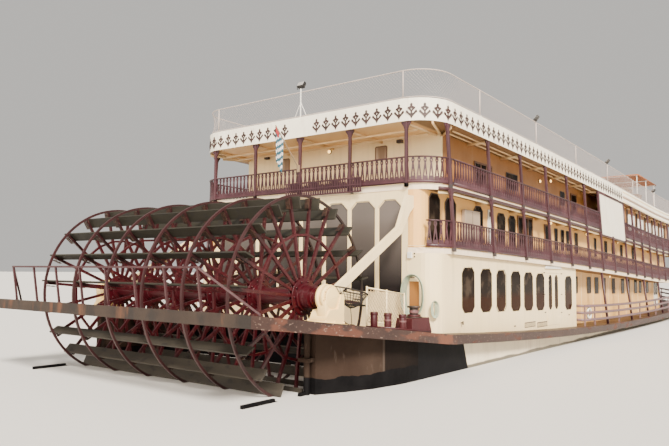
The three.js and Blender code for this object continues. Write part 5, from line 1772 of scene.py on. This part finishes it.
# Stern corner fittings, starboard side only: a white junction box, the cover strips of the service
# panel that the hose hangs in front of, and a tap on the side wall.
fittings = [
    block("junction_box", (5.48, 0.0, 5.5), (5.68, 0.078, 5.74), 0.012, white_paint),
    # The service panel is coloured with the deep painted-shade cream.
    block("service_panel", (5.55, 0.06, 3.3), (5.97, 0.078, 4.62), 0.004, deep_shaded_cream),
    drum("cable_gland", 0.03, (5.77, 0.05, 5.68), (5.77, 0.078, 5.68), 10, paint=dark_iron),
    drum("cable_gland", 0.03, (5.77, 0.05, 5.56), (5.77, 0.078, 5.56), 10, paint=dark_iron),
    block("cover_strip", (5.445, 0.062, 5.0), (5.47, 0.078, 5.99), 0.002, cream_paint),
    block("cover_strip", (5.445, 0.062, 5.965), (6.23, 0.078, 5.99), 0.002, cream_paint),
    drum("hose_hook", 0.02, (5.76, 0.078, 4.77), (5.76, -0.22, 4.77), 8, paint=dark_iron),
    drum("tap_stem", 0.02, (6.7, 2.05, 3.0), (6.79, 2.05, 3.0), 8, paint=dark_iron),
    drum("tap_body", 0.028, (6.79, 2.05, 2.92), (6.79, 2.05, 3.06), 8, paint=dark_iron),
]
set_down(joined("stern_fittings", fittings))

# Life ring. A ring of kapok under painted canvas hangs upright on the starboard promenade rail,
# where it can be thrown.
ring_paint = coat_with(finish("life_ring", 0.6), (0.78, 0.74, 0.66))
clear_bench()
bpy.ops.mesh.primitive_torus_add(
    major_radius=0.3, minor_radius=0.07, major_segments=40, minor_segments=12
)
ring_piece = bpy.context.object
ring_piece.name = "life_ring"
ring_piece.data.transform(at(7.02, 17.4, guard_top(17.4) + 0.72) @ turn(90, "Y"))
ring_piece.data.materials.append(ring_paint)
set_down(smooth(ring_piece, 60))

# Awning. An orange canvas is laced between white tube posts over the fore part of the roof, tight
# enough to sag only a little between the frames. It is coloured the dark brown-orange of its shaded
# underside: painted shade.
AWNING_X, AWNING_AFT, AWNING_FORE, AWNING_HIGH = 5.9, 34.7, 41.0, 2.5
HEM = 0.05
# The canvas colour is that of its underside in shade: painted shade.
shaded_canvas = two_tone("awning_canvas_in_shade", 0.8, 2.0, (0.30, 0.090, 0.018), (0.22, 0.062, 0.013), grain=90)
cover_long = AWNING_FORE - AWNING_AFT - 2 * HEM
clear_bench()
bpy.ops.mesh.primitive_grid_add(x_subdivisions=36, y_subdivisions=24, size=1)
cover = bpy.context.object
cover.name = "awning_cover"
for vertex in cover.data.vertices:
    u, v = vertex.co.x * 2, vertex.co.y + 0.5
    y = AWNING_AFT + HEM + v * cover_long
    bay = math.sin(2 * math.pi * v) ** 2
    z = ROOF_TOP + sheer(y) + AWNING_HIGH + 0.048 - 0.03 * bay * (1 - u * u)
    vertex.co = (u * (AWNING_X - HEM), y, z)
cover.data.materials.append(shaded_canvas)
set_down(smooth(cover, 60), replaces=("awning",))
corners = [(-AWNING_X, AWNING_AFT), (AWNING_X, AWNING_AFT)]
corners += [(AWNING_X, AWNING_FORE), (-AWNING_X, AWNING_FORE)]
edge_line = lifted(corners, ROOF_TOP + AWNING_HIGH + 0.005)
edge_section = [(-0.03, -0.06), (0.0, -0.06), (0.0, 0.04), (-0.03, 0.04)]
awning_frame = [swept("awning_edge", [edge_line], edge_section, shaded_canvas, closed=True)]
for y in (AWNING_AFT + 0.15, (AWNING_AFT + AWNING_FORE) / 2, AWNING_FORE - 0.15):
    foot = ROOF_TOP + sheer(y)
    top = foot + AWNING_HIGH
    hoop_line = [(x, y, top - 0.03) for x in (-AWNING_X + 0.03, AWNING_X - 0.03)]
    awning_frame.append(pipe("awning_hoop", [hoop_line], 0.03, 8, white_paint))
    for x in (-AWNING_X + 0.15, AWNING_X - 0.15):
        post_line = [(x, y, foot + 0.002), (x, y, top - 0.02)]
        awning_frame.append(pipe("awning_post", [post_line], 0.035, 8, white_paint))
set_down(joined("awning_frame", awning_frame), replaces=("awning",))

# Roof boxes. Two tan life-jacket boxes with overlapping lids stand by the rail on each side of the
# fore part of the roof.
tan_paint = weathered("tan_paint", (0.22, 0.13, 0.075), (0.17, 0.10, 0.058), STREAK, 0.5, 0.3, 0.2)
roof_boxes = []
for y, long in ((30.6, 1.3), (33.6, 1.2)):
    foot = ROOF_TOP + sheer(y)
    corners = (5.5, y - long / 2, foot - 0.01), (6.2, y + long / 2, foot + 0.62)
    roof_boxes.append(block("box_body", *corners, 0.01, tan_paint))
    corners = (5.46, y - long / 2 - 0.03, foot + 0.61), (6.24, y + long / 2 + 0.03, foot + 0.7)
    roof_boxes.append(block("box_lid", *corners, 0.015, tan_paint))
set_down(both_hands("roof_boxes", joined("roof_box", roof_boxes)))

# Wheelhouse. A steel cabin on the fore end of the roof, with rubber-sealed windows all round and a
# white roof that overhangs them.
repaint(white_paint, "wheelhouse_roof")
house_glass = coat_with(finish("wheelhouse_glass", 0.08), (0.02, 0.022, 0.024))
HOUSE_X, HOUSE_AFT, HOUSE_FORE = 1.75, 41.7, 45.0
house_base = ROOF_TOP + sheer(HOUSE_FORE)
pane_low, pane_high = house_base + 0.98, house_base + 1.87
panes = []
for low, high in ((-1.55, -0.6), (-0.48, 0.48), (0.6, 1.55)):
    for y in (HOUSE_AFT, HOUSE_FORE):
        corners = (low - 0.01, y - 0.012, pane_low), (high + 0.01, y + 0.012, pane_high)
        panes.append(block("pane", *corners, 0, house_glass))
for low, high in ((HOUSE_AFT + 0.25, HOUSE_AFT + 1.5), (HOUSE_FORE - 1.5, HOUSE_FORE - 0.25)):
    for x in (-HOUSE_X, HOUSE_X):
        corners = (x - 0.012, low - 0.01, pane_low), (x + 0.012, high + 0.01, pane_high)
        panes.append(block("pane", *corners, 0, house_glass))
set_down(joined("wheelhouse_panes", panes))

# Engine. One cast block stands inside the saloon, painted grey, and is seen only through the
# saloon's doors.
engine_grey = two_tone("engine_grey", 0.45, 6, (0.10, 0.11, 0.11), (0.16, 0.17, 0.16), metallic=0.3)
repaint(engine_grey, "engine_block")

# Flag. A cotton flag in plain bands hangs slack from a varnished staff that leans out over the
# wheel. Its cloth falls in soft folds.
staff_wood = two_tone(
    "staff_varnish", 0.3, 14, (0.34, 0.24, 0.15), (0.24, 0.16, 0.09), stretch=(1, 1, 0.1), coat=0.4
)
repaint(staff_wood, "flagstaff")
FLAG_HOIST, FLAG_FLY = 0.73, 1.4
BAND_COLOURS = (
    ("flag_blue", (0.010, 0.085, 0.120)),
    ("flag_white", (0.72, 0.70, 0.68)),
    ("flag_red", (0.42, 0.035, 0.04)),
)
columns, rows = 36, 20
points, faces = [], []
for j in range(rows + 1):
    v = j / rows
    for i in range(columns + 1):
        s = i / columns
        fold = 0.012 + 0.034 * min(1, 2.5 * v)
        x = fold * math.sin(2 * math.pi * 3.5 * s + 0.6 * v)
        y = -1.58 + (0.49 - 0.1 * v) * s + 0.02 * v
        z = 11.04 - 0.535 * s - FLAG_FLY * v * (1 - 0.02 * math.sin(7 * s))
        points.append((x, y, z))
for j in range(rows):
    for i in range(columns):
        a = j * (columns + 1) + i
        faces.append((a, a + 1, a + columns + 2, a + columns + 1))
flag = from_points("flag_cloth", points, faces)
cloth = flag.data
for name, colour in BAND_COLOURS:
    shade = tuple(0.7 * c for c in colour)
    cloth.materials.append(two_tone(name, 0.85, 5, colour, shade, grain=150, depth=0.0006))
for k, face in enumerate(cloth.polygons):
    row, column = divmod(k, columns)
    face.material_index = 2 if row < 4 and column < 16 else (row + column // 3) % 4 // 2
set_down(smooth(flag, 80), replaces=("flag",))
